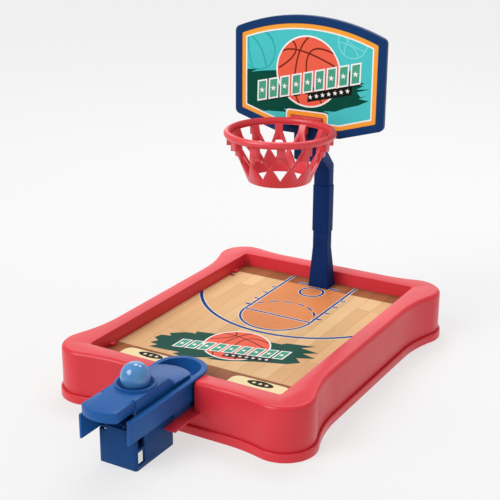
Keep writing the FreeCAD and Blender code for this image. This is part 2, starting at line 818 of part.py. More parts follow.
def make_launcher_housing():
    body = new_body("launcher_housing")
    walls = new_sketch(body, "XY_Plane", "trough_low")
    add_trough_outline(walls, "trough_half")
    add_pad(body, walls, "trough_top - trough_low")
    flange = new_sketch(body, "XY_Plane", "trough_top - flange_thick")
    add_trough_outline(flange, "flange_half")
    add_pad(body, flange, "flange_thick")
    top = size("trough_top")
    round_edges(body, "0.7", lambda edge: all_near(edge, 2, top))

    step = new_sketch(body, "XY_Plane", "trough_low")
    add_rectangle(step, "-flange_half", "flange_half", "step_y", "trough_round_y + flange_half")
    cut_pocket(body, step, "step_low - trough_low", reverse=True)
    well = new_sketch(body, "XY_Plane", "trough_top")
    add_trough_outline(well, "trough_half - trough_wall")
    cut_pocket(body, well, "trough_top - step_low - floor_thick")
    deep = new_sketch(body, "XY_Plane", "trough_top")
    add_rectangle(deep, "-( trough_half - trough_wall )", "trough_half - trough_wall",
                  "trough_front", "step_y - trough_wall")
    cut_pocket(body, deep, "trough_top - trough_low - floor_thick")
    mouth = new_sketch(body, "XY_Plane", "trough_top")
    add_rectangle(mouth, "-( trough_half - trough_wall )", "trough_half - trough_wall",
                  "trough_front - wall", "floor_front")
    cut_pocket(body, mouth, "trough_top - trough_low + wall")
    # the right wall and both flanges stop short of the left wall's front end
    ends = new_sketch(body, "XY_Plane", "trough_top + 1")
    add_rectangle(ends, "trough_half - trough_wall", "flange_half + 1",
                  "trough_front - 1", "flange_front")
    add_rectangle(ends, "-( flange_half + 1 )", "-trough_half",
                  "trough_front - 1", "flange_front")
    cut_pocket(body, ends, "trough_top - trough_low + 2")

    keel = new_sketch(body, "XY_Plane", "tongue_top + keel_gap")
    add_rectangle(keel, "-keel_half", "keel_half", "keel_front", "step_y")
    add_pad(body, keel, "trough_low - tongue_top - keel_gap + floor_thick / 2")

    cuts = new_sketch(body, "XY_Plane", "trough_low + floor_thick")
    add_circle(cuts, "0", "cup_y", "spring_hole")
    add_circle(cuts, "0", "post_front", "clear_radius")
    add_circle(cuts, "0", "post_back", "clear_radius")
    cut_pocket(body, cuts, "floor_thick + 1")
    bore = new_sketch(body, "YZ_Plane")
    add_circle(bore, "pivot_y", "pivot_z", "pin_radius")
    cut_pocket(body, bore, "3 * trough_half", both=True)
    return body


def make_launcher_stand():
    """The hollow leg: an open base, a shelf for the spring and a window in each side."""
    body = new_body("launcher_stand")
    outline = new_sketch(body, "XY_Plane")
    add_rectangle(outline, "-leg_half", "leg_half", "leg_front", "leg_back")
    add_pad(body, outline, "trough_low")
    round_edges(body, "2", is_upright)
    below = new_sketch(body, "XY_Plane")
    above = new_sketch(body, "XY_Plane", "trough_low")
    for sketch in (below, above):
        add_rectangle(sketch, "-( leg_half - leg_wall )", "leg_half - leg_wall",
                      "leg_front + leg_wall", "leg_back - leg_wall")
    cut_pocket(body, below, "shelf_low", reverse=True)
    cut_pocket(body, above, "trough_low - shelf_top")
    lug = new_sketch(body, "XY_Plane", "shelf_top")
    add_rectangle(lug, "-front_lug_half", "front_lug_half", "leg_front", "leg_front + leg_wall")
    add_pad(body, lug, "front_lug_top - shelf_top")
    posts = new_sketch(body, "XY_Plane", "shelf_low")
    add_circle(posts, "0", "post_front", "post_radius")
    add_circle(posts, "0", "post_back", "post_radius")
    add_pad(body, posts, "trough_low - shelf_low")
    seat = new_sketch(body, "XY_Plane", "shelf_top")
    add_circle(seat, "0", "cup_y", "spring_radius - spring_wire - 0.4")
    add_pad(body, seat, "2.4")
    windows = new_sketch(body, "YZ_Plane")
    add_rectangle(windows, "window_front", "window_back", "window_low", "shelf_low")
    add_rectangle(windows, "window_front", "window_back", "shelf_top", "window_high")
    for side in (False, True):
        cut_pocket(body, windows, "leg_half + 1", reverse=side)
    pilots = new_sketch(body, "XY_Plane", "trough_low")
    add_circle(pilots, "0", "post_front", "pilot_radius")
    add_circle(pilots, "0", "post_back", "pilot_radius")
    cut_pocket(body, pilots, "trough_low - shelf_low - 1")
    return body


def make_launch_lever():
    """Paddle, block, side skirts, tail and cup of the sprung lever."""
    body = new_body("launch_lever")
    profile = new_sketch(body, "YZ_Plane")
    add_polygon(profile, [
        ("paddle_front", "paddle_low"), ("notch_back", "paddle_low"), ("notch_back", "skirt_low"),
        ("block_back", "skirt_low"), ("pivot_y - 6", "pivot_z - 4"), ("pivot_y + 4", "pivot_z - 4"),
        ("pivot_y + 4", "tail_z - tail_thick - 1"), ("tail_end", "tail_z - tail_thick"),
        ("tail_end", "tail_z"), ("slope_y", "slope_z"), ("block_back", "lever_top"),
        ("paddle_front", "lever_top")])
    add_pad(body, profile, "2 * lever_half", both=True)
    tail = new_sketch(body, "YZ_Plane")
    add_polygon(tail, [
        ("slope_y - 2", "slope_z - tail_thick + 0.2"), ("tail_end", "tail_z - tail_thick"),
        ("tail_end", "tail_z"), ("slope_y", "slope_z"), ("slope_y - 2", "slope_z")])
    add_pad(body, tail, "2 * tail_half", both=True)

    nose = new_sketch(body, "XY_Plane", "lever_top + 1")
    half = size("lever_half")
    front = size("paddle_front")
    corner = size("paddle_corner")
    beyond = front - 5
    nose.addGeometry(Part.Arc(V(-half - 1, corner + 0.6, 0), V(0, front, 0), V(half + 1, corner + 0.6, 0)))
    nose.addGeometry(Part.LineSegment(V(half + 1, corner + 0.6, 0), V(half + 1, beyond, 0)))
    nose.addGeometry(Part.LineSegment(V(half + 1, beyond, 0), V(-half - 1, beyond, 0)))
    nose.addGeometry(Part.LineSegment(V(-half - 1, beyond, 0), V(-half - 1, corner + 0.6, 0)))
    cut_pocket(body, nose, "12")
    end = new_sketch(body, "XY_Plane", "lever_top")
    tail_half = size("tail_half")
    tip = size("tail_end")
    end.addGeometry(Part.Arc(V(-tail_half - 1, tip - 9, 0), V(0, tip, 0), V(tail_half + 1, tip - 9, 0)))
    end.addGeometry(Part.LineSegment(V(tail_half + 1, tip - 9, 0), V(tail_half + 1, tip + 1, 0)))
    end.addGeometry(Part.LineSegment(V(tail_half + 1, tip + 1, 0), V(-tail_half - 1, tip + 1, 0)))
    end.addGeometry(Part.LineSegment(V(-tail_half - 1, tip + 1, 0), V(-tail_half - 1, tip - 9, 0)))
    cut_pocket(body, end, "lever_top - tail_z + tail_thick + 1.5")

    hollow = new_sketch(body, "YZ_Plane")
    add_polygon(hollow, [
        ("paddle_corner + lever_wall + 1", "skirt_low - 1"),
        ("paddle_corner + lever_wall + 1", "lever_top - 2"),
        ("block_back - 1", "lever_top - 2"), ("slope_y - 1", "slope_z - 2"),
        ("pivot_y - 8", "slope_z - 3.2"), ("pivot_y - 8", "pivot_z - 5"), ("block_back", "skirt_low - 8")])
    cut_pocket(body, hollow, "2 * ( lever_half - lever_wall )", both=True)
    notches = new_sketch(body, "XY_Plane", "lever_top")
    for side in ("", "-"):
        add_rectangle(notches, side + "( lever_half - notch_deep )", side + "( lever_half + 1 )",
                      "notch_front", "notch_back")
    cut_pocket(body, notches, "lever_top - paddle_low")

    cup = new_sketch(body, "XY_Plane", "cup_low")
    add_circle(cup, "0", "cup_y", "cup_radius")
    add_pad(body, cup, "cup_top - cup_low")
    mouth = size("bowl_mouth")
    deep = size("bowl_deep")
    bowl_radius = (mouth ** 2 + deep ** 2) / (2 * deep)
    floor = size("cup_top") - deep
    middle = size("cup_y")
    bowl = new_sketch(body, "YZ_Plane")
    turn = math.radians(22)
    bowl.addGeometry(Part.LineSegment(V(middle, floor + deep + 3, 0), V(middle, floor, 0)))
    bowl.addGeometry(Part.Arc(
        V(middle, floor, 0),
        V(middle + bowl_radius * math.sin(turn), floor + bowl_radius * (1 - math.cos(turn)), 0),
        V(middle + mouth, floor + deep, 0)))
    bowl.addGeometry(Part.LineSegment(V(middle + mouth, floor + deep, 0), V(middle + mouth, floor + deep + 3, 0)))
    bowl.addGeometry(Part.LineSegment(V(middle + mouth, floor + deep + 3, 0), V(middle, floor + deep + 3, 0)))
    bowl.addGeometry(Part.LineSegment(V(middle, floor - 5, 0), V(middle, floor + 9, 0)), True)
    revolve(body, "Groove", bowl, "Axis0")

    bore = new_sketch(body, "YZ_Plane")
    add_circle(bore, "pivot_y", "pivot_z", "pin_radius + pin_play")
    cut_pocket(body, bore, "3 * lever_half", both=True)
    return body


def make_lever_spring():
    """A compression spring between the stand's shelf and the underside of the cup."""
    wire_radius = size("spring_wire")
    coil = size("spring_radius")
    low = size("shelf_top") + wire_radius + 0.05
    high = size("cup_low") - wire_radius - 0.05
    turns = size("spring_turns")
    path = Part.makeHelix((high - low) / turns, high - low, coil)
    section = Part.Wire(Part.makeCircle(wire_radius, V(coil, 0, 0), V(0, 1, 0)))
    coil_shape = Part.Wire(path.Edges).makePipeShell([section], True, True)
    feature = doc.addObject("Part::Feature", "lever_spring")
    feature.Label = "lever_spring"
    feature.Shape = coil_shape
    feature.Placement = FreeCAD.Placement(
        V(0, size("cup_y") + size("court_shift"), low), FreeCAD.Rotation())
    return feature


def make_ball():
    ball = doc.addObject("Part::Sphere", "ball")
    ball.Label = "ball"
    ball.setExpression("Radius", "Sizes.ball_radius")
    ball.setExpression("Placement.Base.y", bound("cup_y + court_shift"))
    ball.setExpression("Placement.Base.z", bound("cup_top - bowl_deep + ball_gap + ball_radius"))
    doc.recompute()
    return ball


# ---------------------------------------------------------------- build, check, write

def check_document():
    for item in doc.Objects:
        bad = [word for word in item.State if word in ("Invalid", "Error")]
        if bad:
            raise RuntimeError("%s is %s" % (item.Label, bad))


def check_shape(item):
    shape = item.Shape
    if shape.isNull() or not shape.isValid() or not shape.Solids:
        raise RuntimeError(item.Label + " has no valid shape")
    if len(shape.Solids) != 1:
        raise RuntimeError("%s has %d solids" % (item.Label, len(shape.Solids)))


def main():
    pieces = [
        make_base_shell(), make_base_cover(), make_court_card(),
        make_mast_foot(), make_mast_sleeve(), make_mast_upper(),
        make_backboard_frame(), make_backboard_print(), make_hoop_net(),
        make_launcher_housing(), make_launcher_stand(), make_launch_lever(),
        make_lever_pin(), make_lever_spring(), make_ball()]
    pieces += make_screws()
    doc.recompute()
    check_document()
    for piece in pieces:
        check_shape(piece)
    os.makedirs(PARTS, exist_ok=True)
    for piece in pieces:
        piece.Shape.exportStep("%s/%s.step" % (PARTS, piece.Label))
        box = piece.Shape.BoundBox
        print("%-18s x %7.1f %7.1f  y %7.1f %7.1f  z %7.1f %7.1f" % (
            piece.Label, box.XMin, box.XMax, box.YMin, box.YMax, box.ZMin, box.ZMax))


main()
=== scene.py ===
"""Looks for a tabletop finger basketball game: tray, printed court, mast, board, hoop and launcher."""
import math

import bmesh
import bpy
from bpy.props import FloatProperty, FloatVectorProperty, IntProperty, PointerProperty
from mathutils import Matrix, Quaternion, Vector
from mathutils.geometry import delaunay_2d_cdt


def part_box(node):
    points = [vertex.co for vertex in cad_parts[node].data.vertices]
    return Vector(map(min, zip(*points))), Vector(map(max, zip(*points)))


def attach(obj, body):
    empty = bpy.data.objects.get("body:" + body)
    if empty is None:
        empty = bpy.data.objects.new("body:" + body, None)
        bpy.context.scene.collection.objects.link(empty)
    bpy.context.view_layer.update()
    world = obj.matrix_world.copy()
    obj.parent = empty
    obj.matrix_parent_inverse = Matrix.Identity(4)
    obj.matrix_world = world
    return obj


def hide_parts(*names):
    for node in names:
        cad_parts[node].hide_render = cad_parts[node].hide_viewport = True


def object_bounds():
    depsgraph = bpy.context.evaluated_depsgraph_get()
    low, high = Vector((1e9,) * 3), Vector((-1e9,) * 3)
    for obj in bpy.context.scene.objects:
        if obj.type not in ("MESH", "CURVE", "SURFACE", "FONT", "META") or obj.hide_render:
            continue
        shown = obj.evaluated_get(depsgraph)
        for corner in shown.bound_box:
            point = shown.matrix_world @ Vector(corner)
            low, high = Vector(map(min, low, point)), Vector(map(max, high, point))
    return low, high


bl_info = {
    "name": "Finger Basketball Game",
    "version": (1, 0, 0),
    "blender": (4, 5, 0),
    "location": "3D View > Sidebar > Hoop Game",
    "description": "Builds the printed, moulded and metal pieces of a tabletop hoop game",
    "category": "Object",
}

MM = 0.001
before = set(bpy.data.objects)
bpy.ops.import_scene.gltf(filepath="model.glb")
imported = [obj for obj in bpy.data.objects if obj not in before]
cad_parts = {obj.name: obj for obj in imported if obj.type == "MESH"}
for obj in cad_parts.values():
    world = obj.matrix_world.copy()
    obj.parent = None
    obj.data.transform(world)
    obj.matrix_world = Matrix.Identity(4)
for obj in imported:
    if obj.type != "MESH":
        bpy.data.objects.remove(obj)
CAD_LOW, CAD_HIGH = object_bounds()
CARD_LOW, CARD_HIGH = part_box("court_card")
NET_LOW, NET_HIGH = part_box("hoop_net")
BALL_LOW, BALL_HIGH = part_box("ball")
PRINT_LOW, PRINT_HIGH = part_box("backboard_print")
FOOT_LOW, FOOT_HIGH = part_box("mast_foot")

# The court's own datum: its lengthwise middle line at table level, in millimetres from here on.
DATUM = Vector((0, (CARD_LOW.y + CARD_HIGH.y) / 2 - 1.5 * MM, 0))
CARD_HALF = CARD_HIGH.x / MM
CARD_FRONT = (CARD_LOW.y - DATUM.y) / MM
CARD_BACK = (CARD_HIGH.y - DATUM.y) / MM
RING_OUTER = NET_HIGH.x / MM
RING_Z = NET_HIGH.z / MM - 4.1
HOOP_Y = (NET_LOW.y - DATUM.y) / MM + RING_OUTER


def at(x, y, z):
    """A point given in millimetres round the court's datum, in metres in the frame."""
    return Vector((x, y, z)) * MM + DATUM


# ---------------------------------------------------------------- settings

def colour(name, value, about):
    return FloatVectorProperty(name=name, description=about, default=value, subtype="COLOR",
                               size=4, min=0, max=1)


def length(name, value, about):
    return FloatProperty(name=name, description=about, default=value * MM, unit="LENGTH",
                         min=0, precision=5)


class HoopGamePlastics(bpy.types.PropertyGroup):
    tray_red: colour("Tray red", (0.69, 0.032, 0.046, 1), "Moulded tray and bottom cover")
    hoop_red: colour("Hoop red", (0.72, 0.040, 0.055, 1), "Moulded hoop and net")
    mast_navy: colour("Mast navy", (0.004, 0.030, 0.150, 1), "Mast foot, collar and upright")
    board_blue: colour("Board blue", (0.005, 0.038, 0.140, 1), "Backboard frame")
    launcher_blue: colour("Launcher blue", (0.014, 0.098, 0.330, 1), "Launcher housing and lever")
    # Painted shade: the leg's blue is the launcher blue darkened, standing in for the shadow the leg lies
    # in under the trough.
    leg_blue_painted_shade: colour("Leg blue", (0.008, 0.055, 0.190, 1), "Launcher's hollow leg")
    ball_blue: colour("Ball blue", (0.075, 0.25, 0.52, 1), "Translucent ball")
    edge_round: length("Edge round", 0.35, "Rounding of a moulded edge")


class HoopGamePrint(bpy.types.PropertyGroup):
    plank_light: colour("Light plank", (0.76, 0.50, 0.26, 1), "Palest boards of the court")
    plank_dark: colour("Dark plank", (0.66, 0.39, 0.185, 1), "Darkest boards of the court")
    plank_width: length("Plank width", 13.2, "Width of one printed board")
    plank_length: length("Plank length", 118, "Length of one printed board")
    end_band: colour("End band", (0.30, 0.105, 0.043, 1), "Brown bands at the court's ends")
    key_orange: colour("Key orange", (0.67, 0.235, 0.080, 1), "Painted key")
    line_blue: colour("Line blue", (0.003, 0.045, 0.20, 1), "Court lines")
    white: colour("Print white", (0.90, 0.90, 0.88, 1), "Outlines")
    black: colour("Print black", (0.006, 0.008, 0.008, 1), "Numerals and shadows")
    cream: colour("Cream", (0.84, 0.70, 0.40, 1), "Score panels")
    teal: colour("Teal", (0.070, 0.56, 0.575, 1), "Field of the backboard")
    teal_shade: colour("Teal shade", (0.03, 0.43, 0.43, 1), "Darker ball lines on the teal")
    teal_tint: colour("Teal tint", (0.20, 0.72, 0.71, 1), "Paler ball lines on the teal")
    border: colour("Border orange", (0.93, 0.37, 0.045, 1), "Border of the backboard")
    coral: colour("Coral", (0.85, 0.125, 0.07, 1), "Printed ball")
    seam: colour("Seam brown", (0.19, 0.022, 0.008, 1), "Seams of the printed ball")
    paint_green: colour("Dark green", (0.0015, 0.068, 0.046, 1), "Brush stroke")
    ribbon_green: colour("Ribbon green", (0.07, 0.36, 0.24, 1), "Ribbon blocks")


class HoopGameSizes(bpy.types.PropertyGroup):
    border_width: length("Border width", 3.6, "Orange border of the board's print")
    outline_width: length("Outline width", 1.15, "White line inside the border")
    line_width: length("Court line width", 2.25, "Blue part of a court line")
    line_edge: length("Line edge", 0.45, "White edge each side of a court line")
    ring_tube: length("Ring tube", 3.0, "Radius of the hoop's tube")
    net_wall: length("Net wall", 2.2, "Thickness of the moulded net")
    strap_half: length("Strap half width", 3.4, "Half the width of a net strap")
    net_round: length("Net edge round", 0.3, "Rounding of the net's edges")
    strap_count: IntProperty(name="Straps", description="Straps round the hoop", default=12, min=6)


class HoopGameStage(bpy.types.PropertyGroup):
    lens: FloatProperty(name="Lens", description="Focal length in millimetres", default=82.75)
    azimuth: FloatProperty(name="Azimuth", description="Camera's turn round the game",
                           default=math.radians(30.10), unit="ROTATION")
    elevation: FloatProperty(name="Elevation", description="Camera's angle over the table",
                             default=math.radians(19.74), unit="ROTATION")
    roll: FloatProperty(name="Roll", description="Camera's tilt about its own axis",
                        default=math.radians(0.30), unit="ROTATION")
    distance: FloatProperty(name="Distance", description="Camera to the point it looks at",
                            default=0.9271, unit="LENGTH")
    aim_offset: FloatVectorProperty(name="Aim", description="Point looked at, from the middle",
                                    default=(0, 0.0215, -0.0350), subtype="TRANSLATION")
    floor_half: FloatProperty(name="Floor half width", description="Half the floor's side",
                              default=14.0, unit="LENGTH")
    floor_tone: colour("Floor", (0.26, 0.26, 0.26, 1), "Pale floor")
    floor_glow: FloatProperty(name="Floor glow", description="Light given off by the lit floor",
                              default=0.62, min=0)
    sky_light: FloatProperty(name="Sky", description="Strength of the soft light all round",
                             default=0.52, min=0)
    key_light: FloatProperty(name="Key", description="Strength of the main light", default=1.75, min=0)


class HoopGameSettings(bpy.types.PropertyGroup):
    plastics: PointerProperty(type=HoopGamePlastics)
    printing: PointerProperty(type=HoopGamePrint)
    sizes: PointerProperty(type=HoopGameSizes)
    stage: PointerProperty(type=HoopGameStage)


def settings():
    return bpy.context.scene.hoop_game


# ---------------------------------------------------------------- shared surface effects

def socket(group, direction, kind, name, value=None):
    made = group.interface.new_socket(name=name, in_out=direction, socket_type="NodeSocket" + kind)
    if value is not None:
        made.default_value = value
    return made


class Graph:
    """A node tree with short calls to add and join nodes."""

    def __init__(self, tree):
        self.tree = tree

    def add(self, kind, **values):
        node = self.tree.nodes.new("ShaderNode" + kind)
        for name, value in values.items():
            setattr(node, name, value)
        return node

    def join(self, source, target):
        self.tree.links.new(source, target)

    def sum(self, operation, first, second):
        node = self.add("Math", operation=operation)
        for index, value in enumerate((first, second)):
            if isinstance(value, (int, float)):
                node.inputs[index].default_value = value
            else:
                self.join(value, node.inputs[index])
        return node.outputs[0]

    def noise(self, vector, scale, detail=2.0):
        node = self.add("TexNoise")
        node.inputs["Detail"].default_value = detail
        self.join(vector, node.inputs["Vector"])
        if isinstance(scale, (int, float)):
            node.inputs["Scale"].default_value = scale
        else:
            self.join(scale, node.inputs["Scale"])
        return node.outputs["Fac"]

    def spread(self, value, low, high):
        node = self.add("MapRange")
        self.join(value, node.inputs["Value"])
        for name, bound in (("To Min", low), ("To Max", high)):
            if isinstance(bound, (int, float)):
                node.inputs[name].default_value = bound
            else:
                self.join(bound, node.inputs[name])
        return node.outputs["Result"]

    def bump(self, height, depth):
        node = self.add("Bump")
        node.inputs["Distance"].default_value = 0.0001
        self.join(height, node.inputs["Height"])
        self.join(depth, node.inputs["Strength"])
        return node.outputs["Normal"]


def new_group(name):
    tree = bpy.data.node_groups.new(name, "ShaderNodeTree")
    graph = Graph(tree)
    return tree, graph, tree.nodes.new("NodeGroupInput"), tree.nodes.new("NodeGroupOutput")


def moulded_skin():
    """Plastic as it leaves the mould: faint flow mottling, uneven sheen and a fine grain."""
    name = "moulded_skin"
    if name in bpy.data.node_groups:
        return bpy.data.node_groups[name]
    tree, graph, given, result = new_group(name)
    socket(tree, "INPUT", "Color", "Colour", (0.5, 0.5, 0.5, 1))
    socket(tree, "INPUT", "Float", "Mottle", 0.08)
    socket(tree, "INPUT", "Float", "Roughness", 0.35)
    socket(tree, "INPUT", "Float", "Grain Size", 1800.0)
    socket(tree, "INPUT", "Float", "Grain Depth", 0.2)
    for kind, label in (("Color", "Colour"), ("Float", "Roughness"), ("Vector", "Normal")):
        socket(tree, "OUTPUT", kind, label)
    place = graph.add("TexCoord").outputs["Object"]
    flow = graph.noise(place, 38.0, 3.0)
    shade = graph.add("HueSaturation")
    graph.join(given.outputs["Colour"], shade.inputs["Color"])
    low = graph.sum("SUBTRACT", 1.0, given.outputs["Mottle"])
    high = graph.sum("ADD", 1.0, given.outputs["Mottle"])
    graph.join(graph.spread(flow, low, high), shade.inputs["Value"])
    graph.join(shade.outputs["Color"], result.inputs["Colour"])
    wear = graph.noise(place, 120.0, 4.0)
    graph.join(graph.sum("ADD", given.outputs["Roughness"], graph.spread(wear, -0.06, 0.06)),
               result.inputs["Roughness"])
    grain = graph.noise(place, given.outputs["Grain Size"], 2.0)
    graph.join(graph.bump(grain, given.outputs["Grain Depth"]), result.inputs["Normal"])
    return tree


def printed_ink():
    """Ink on coated card: a slight roller mottle, fibre grain and an uneven varnish."""
    name = "printed_ink"
    if name in bpy.data.node_groups:
        return bpy.data.node_groups[name]
    tree, graph, given, result = new_group(name)
    socket(tree, "INPUT", "Color", "Ink", (0.5, 0.5, 0.5, 1))
    socket(tree, "INPUT", "Float", "Mottle", 0.05)
    socket(tree, "INPUT", "Float", "Varnish", 0.42)
    for kind, label in (("Color", "Colour"), ("Float", "Roughness"), ("Vector", "Normal")):
        socket(tree, "OUTPUT", kind, label)
    place = graph.add("TexCoord").outputs["Object"]
    roller = graph.noise(place, 240.0, 5.0)
    shade = graph.add("HueSaturation")
    graph.join(given.outputs["Ink"], shade.inputs["Color"])
    low = graph.sum("SUBTRACT", 1.0, given.outputs["Mottle"])
    high = graph.sum("ADD", 1.0, given.outputs["Mottle"])
    graph.join(graph.spread(roller, low, high), shade.inputs["Value"])
    graph.join(shade.outputs["Color"], result.inputs["Colour"])
    varnish = graph.noise(place, 60.0, 3.0)
    graph.join(graph.sum("ADD", given.outputs["Varnish"], graph.spread(varnish, -0.05, 0.05)),
               result.inputs["Roughness"])
    fibre = graph.noise(place, 3200.0, 2.0)
    strength = graph.add("Value")
    strength.outputs[0].default_value = 0.12
    graph.join(graph.bump(fibre, strength.outputs[0]), result.inputs["Normal"])
    return tree


def board_pattern():
    """Printed floorboards: staggered boards of differing tone with a fine lengthwise grain."""
    name = "board_pattern"
    if name in bpy.data.node_groups:
        return bpy.data.node_groups[name]
    sizes = settings().printing
    tree, graph, given, result = new_group(name)
    socket(tree, "INPUT", "Color", "Pale", (0.8, 0.6, 0.3, 1))
    socket(tree, "INPUT", "Color", "Deep", (0.6, 0.4, 0.2, 1))
    socket(tree, "INPUT", "Color", "Joint", (0.3, 0.15, 0.06, 1))
    socket(tree, "OUTPUT", "Color", "Colour")
    place = graph.add("TexCoord").outputs["Object"]
    apart = graph.add("SeparateXYZ")
    graph.join(place, apart.inputs[0])
    turned = graph.add("CombineXYZ")
    graph.join(apart.outputs["Y"], turned.inputs["X"])
    graph.join(apart.outputs["X"], turned.inputs["Y"])
    boards = graph.add("TexBrick", offset=0.37, offset_frequency=3, squash=1.0)
    graph.join(turned.outputs[0], boards.inputs["Vector"])
    for label, value in (("Scale", 1.0), ("Mortar Size", 0.00016), ("Mortar Smooth", 0.2),
                         ("Brick Width", sizes.plank_length), ("Row Height", sizes.plank_width)):
        boards.inputs[label].default_value = value
    graph.join(given.outputs["Pale"], boards.inputs["Color1"])
    graph.join(given.outputs["Deep"], boards.inputs["Color2"])
    graph.join(given.outputs["Joint"], boards.inputs["Mortar"])
    stretch = graph.add("Mapping")
    stretch.inputs["Scale"].default_value = (14.0, 1.0, 1.0)
    graph.join(place, stretch.inputs["Vector"])
    streak = graph.noise(stretch.outputs[0], 85.0, 4.0)
    shade = graph.add("HueSaturation")
    graph.join(boards.outputs["Color"], shade.inputs["Color"])
    graph.join(graph.spread(streak, 0.94, 1.06), shade.inputs["Value"])
    graph.join(shade.outputs["Color"], result.inputs["Colour"])
    return tree


def new_material(name):
    made = bpy.data.materials.new(name)
    made.use_nodes = True
    graph = Graph(made.node_tree)
    surface = made.node_tree.nodes["Principled BSDF"]
    return made, graph, surface


def place_group(graph, tree, **values):
    node = graph.add("Group")
    node.node_tree = tree
    for label, value in values.items():
        node.inputs[label.replace("_", " ")].default_value = value
    return node


def wear_skin(graph, surface, skin):
    graph.join(skin.outputs["Colour"], surface.inputs["Base Color"])
    graph.join(skin.outputs["Roughness"], surface.inputs["Roughness"])
    graph.join(skin.outputs["Normal"], surface.inputs["Normal"])


def plastic(name, tint, roughness, mottle=0.05, grain=0.16, coat=0.0, shine=0.5):
    made, graph, surface = new_material(name)
    surface.inputs["Specular IOR Level"].default_value = shine
    skin = place_group(graph, moulded_skin(), Colour=tuple(tint), Mottle=mottle,
                       Roughness=roughness, Grain_Depth=grain)
    wear_skin(graph, surface, skin)
    surface.inputs["Coat Weight"].default_value = coat
    surface.inputs["Coat Roughness"].default_value = 0.2
    return made


def steel(name, roughness, tint=(0.58, 0.58, 0.60, 1)):
    made, graph, surface = new_material(name)
    skin = place_group(graph, moulded_skin(), Colour=tint, Mottle=0.14, Roughness=roughness,
                       Grain_Size=2600.0, Grain_Depth=0.3)
    wear_skin(graph, surface, skin)
    surface.inputs["Metallic"].default_value = 1.0
    return made


def ink(name, tint, mottle=0.05, varnish=0.42):
    made, graph, surface = new_material(name)
    surface.inputs["Specular IOR Level"].default_value = 0.06
    layer = place_group(graph, printed_ink(), Ink=tuple(tint), Mottle=mottle, Varnish=varnish)
    wear_skin(graph, surface, layer)
    return made


def board_ink(name, pale, deep, joint):
    made, graph, surface = new_material(name)
    surface.inputs["Specular IOR Level"].default_value = 0.06
    boards = place_group(graph, board_pattern(), Pale=tuple(pale), Deep=tuple(deep), Joint=joint)
    layer = place_group(graph, printed_ink(), Mottle=0.03, Varnish=0.40)
    graph.join(boards.outputs["Colour"], layer.inputs["Ink"])
    wear_skin(graph, surface, layer)
    return made


# ---------------------------------------------------------------- meshes

def new_piece(name, shape, materials, smooth_below=35.0):
    """A mesh object from a bmesh, shaded smooth where neighbouring faces nearly agree."""
    mesh = bpy.data.meshes.new(name)
    shape.to_mesh(mesh)
    shape.free()
    mesh.shade_smooth()
    mesh.set_sharp_from_angle(angle=math.radians(smooth_below))
    for material in materials:
        mesh.materials.append(material)
    piece = bpy.data.objects.new(name, mesh)
    bpy.context.scene.collection.objects.link(piece)
    return piece


def set_on(piece, body, slot, *nodes):
    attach(piece, body)
    if nodes:
        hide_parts(*nodes)
    return piece


def soften_edges(shape, width, sharper_than=42.0, segments=2):
    """Round the edges between faces that meet at more than the given angle."""
    edges = [edge for edge in shape.edges if len(edge.link_faces) == 2
             and edge.calc_face_angle(0) > math.radians(sharper_than)]
    bmesh.ops.bevel(shape, geom=edges, offset=width, segments=segments, profile=0.5,
                    affect="EDGES", clamp_overlap=True)


def softened_copy(node, width, name, material):
    """The designed part with its flat faces joined up and its moulded edges eased."""
    shape = bmesh.new()
    shape.from_mesh(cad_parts[node].data)
    bmesh.ops.remove_doubles(shape, verts=shape.verts, dist=2e-6)
    bmesh.ops.dissolve_limit(shape, angle_limit=math.radians(0.6), verts=shape.verts,
                             edges=shape.edges, use_dissolve_boundaries=False)
    soften_edges(shape, width)
    return new_piece(name, shape, [material])


# ---------------------------------------------------------------- flat artwork

def disc(x, y, radius, count=72):
    return [(x + radius * math.cos(2 * math.pi * n / count),
             y + radius * math.sin(2 * math.pi * n / count)) for n in range(count)]


def oval(x, y, across, up, count=48):
    return [(x + across * math.cos(2 * math.pi * n / count),
             y + up * math.sin(2 * math.pi * n / count)) for n in range(count)]


def arc_band(x, y, radius, width, start, end, count=48):
    """A strip of even width along an arc; angles in degrees."""
    angles = [math.radians(start + (end - start) * n / count) for n in range(count + 1)]
    outer = [(x + (radius + width / 2) * math.cos(a), y + (radius + width / 2) * math.sin(a))
             for a in angles]
    inner = [(x + (radius - width / 2) * math.cos(a), y + (radius - width / 2) * math.sin(a))
             for a in reversed(angles)]
    return outer + inner


def strip(points, width):
    """A strip of even width along a line of points."""
    left, right = [], []
    for index, point in enumerate(points):
        before = Vector(points[max(index - 1, 0)])
        after = Vector(points[min(index + 1, len(points) - 1)])
        along = (after - before).normalized()
        side = Vector((-along.y, along.x)) * width / 2
        left.append(tuple(Vector(point) + side))
        right.append(tuple(Vector(point) - side))
    return left + right[::-1]


def bow(start, through, end, count=14):
    """Points on a smooth bow from start to end that passes through the middle point."""
    a, m, b = Vector(start), Vector(through), Vector(end)
    pull = m * 2 - (a + b) / 2
    return [tuple(a * (1 - t) ** 2 + pull * 2 * t * (1 - t) + b * t * t)
            for t in (n / count for n in range(count + 1))]


def bar(left, right, low, high):
    return [(left, low), (right, low), (right, high), (left, high)]


def rounded_bar(left, right, low, high, radius, count=6):
    corners = [(right - radius, high - radius, 0), (left + radius, high - radius, 90),
               (left + radius, low + radius, 180), (right - radius, low + radius, 270)]
    return [(x + radius * math.cos(math.radians(turn + 90 * n / count)),
             y + radius * math.sin(math.radians(turn + 90 * n / count)))
            for x, y, turn in corners for n in range(count + 1)]


def star(x, y, radius):
    return [(x + r * math.sin(math.pi * n / 5), y + r * math.cos(math.pi * n / 5))
            for n in range(10) for r in (radius if n % 2 == 0 else radius * 0.42,)]


def signed_area(points):
    return sum(a[0] * b[1] - b[0] * a[1] for a, b in zip(points, points[1:] + points[:1])) / 2


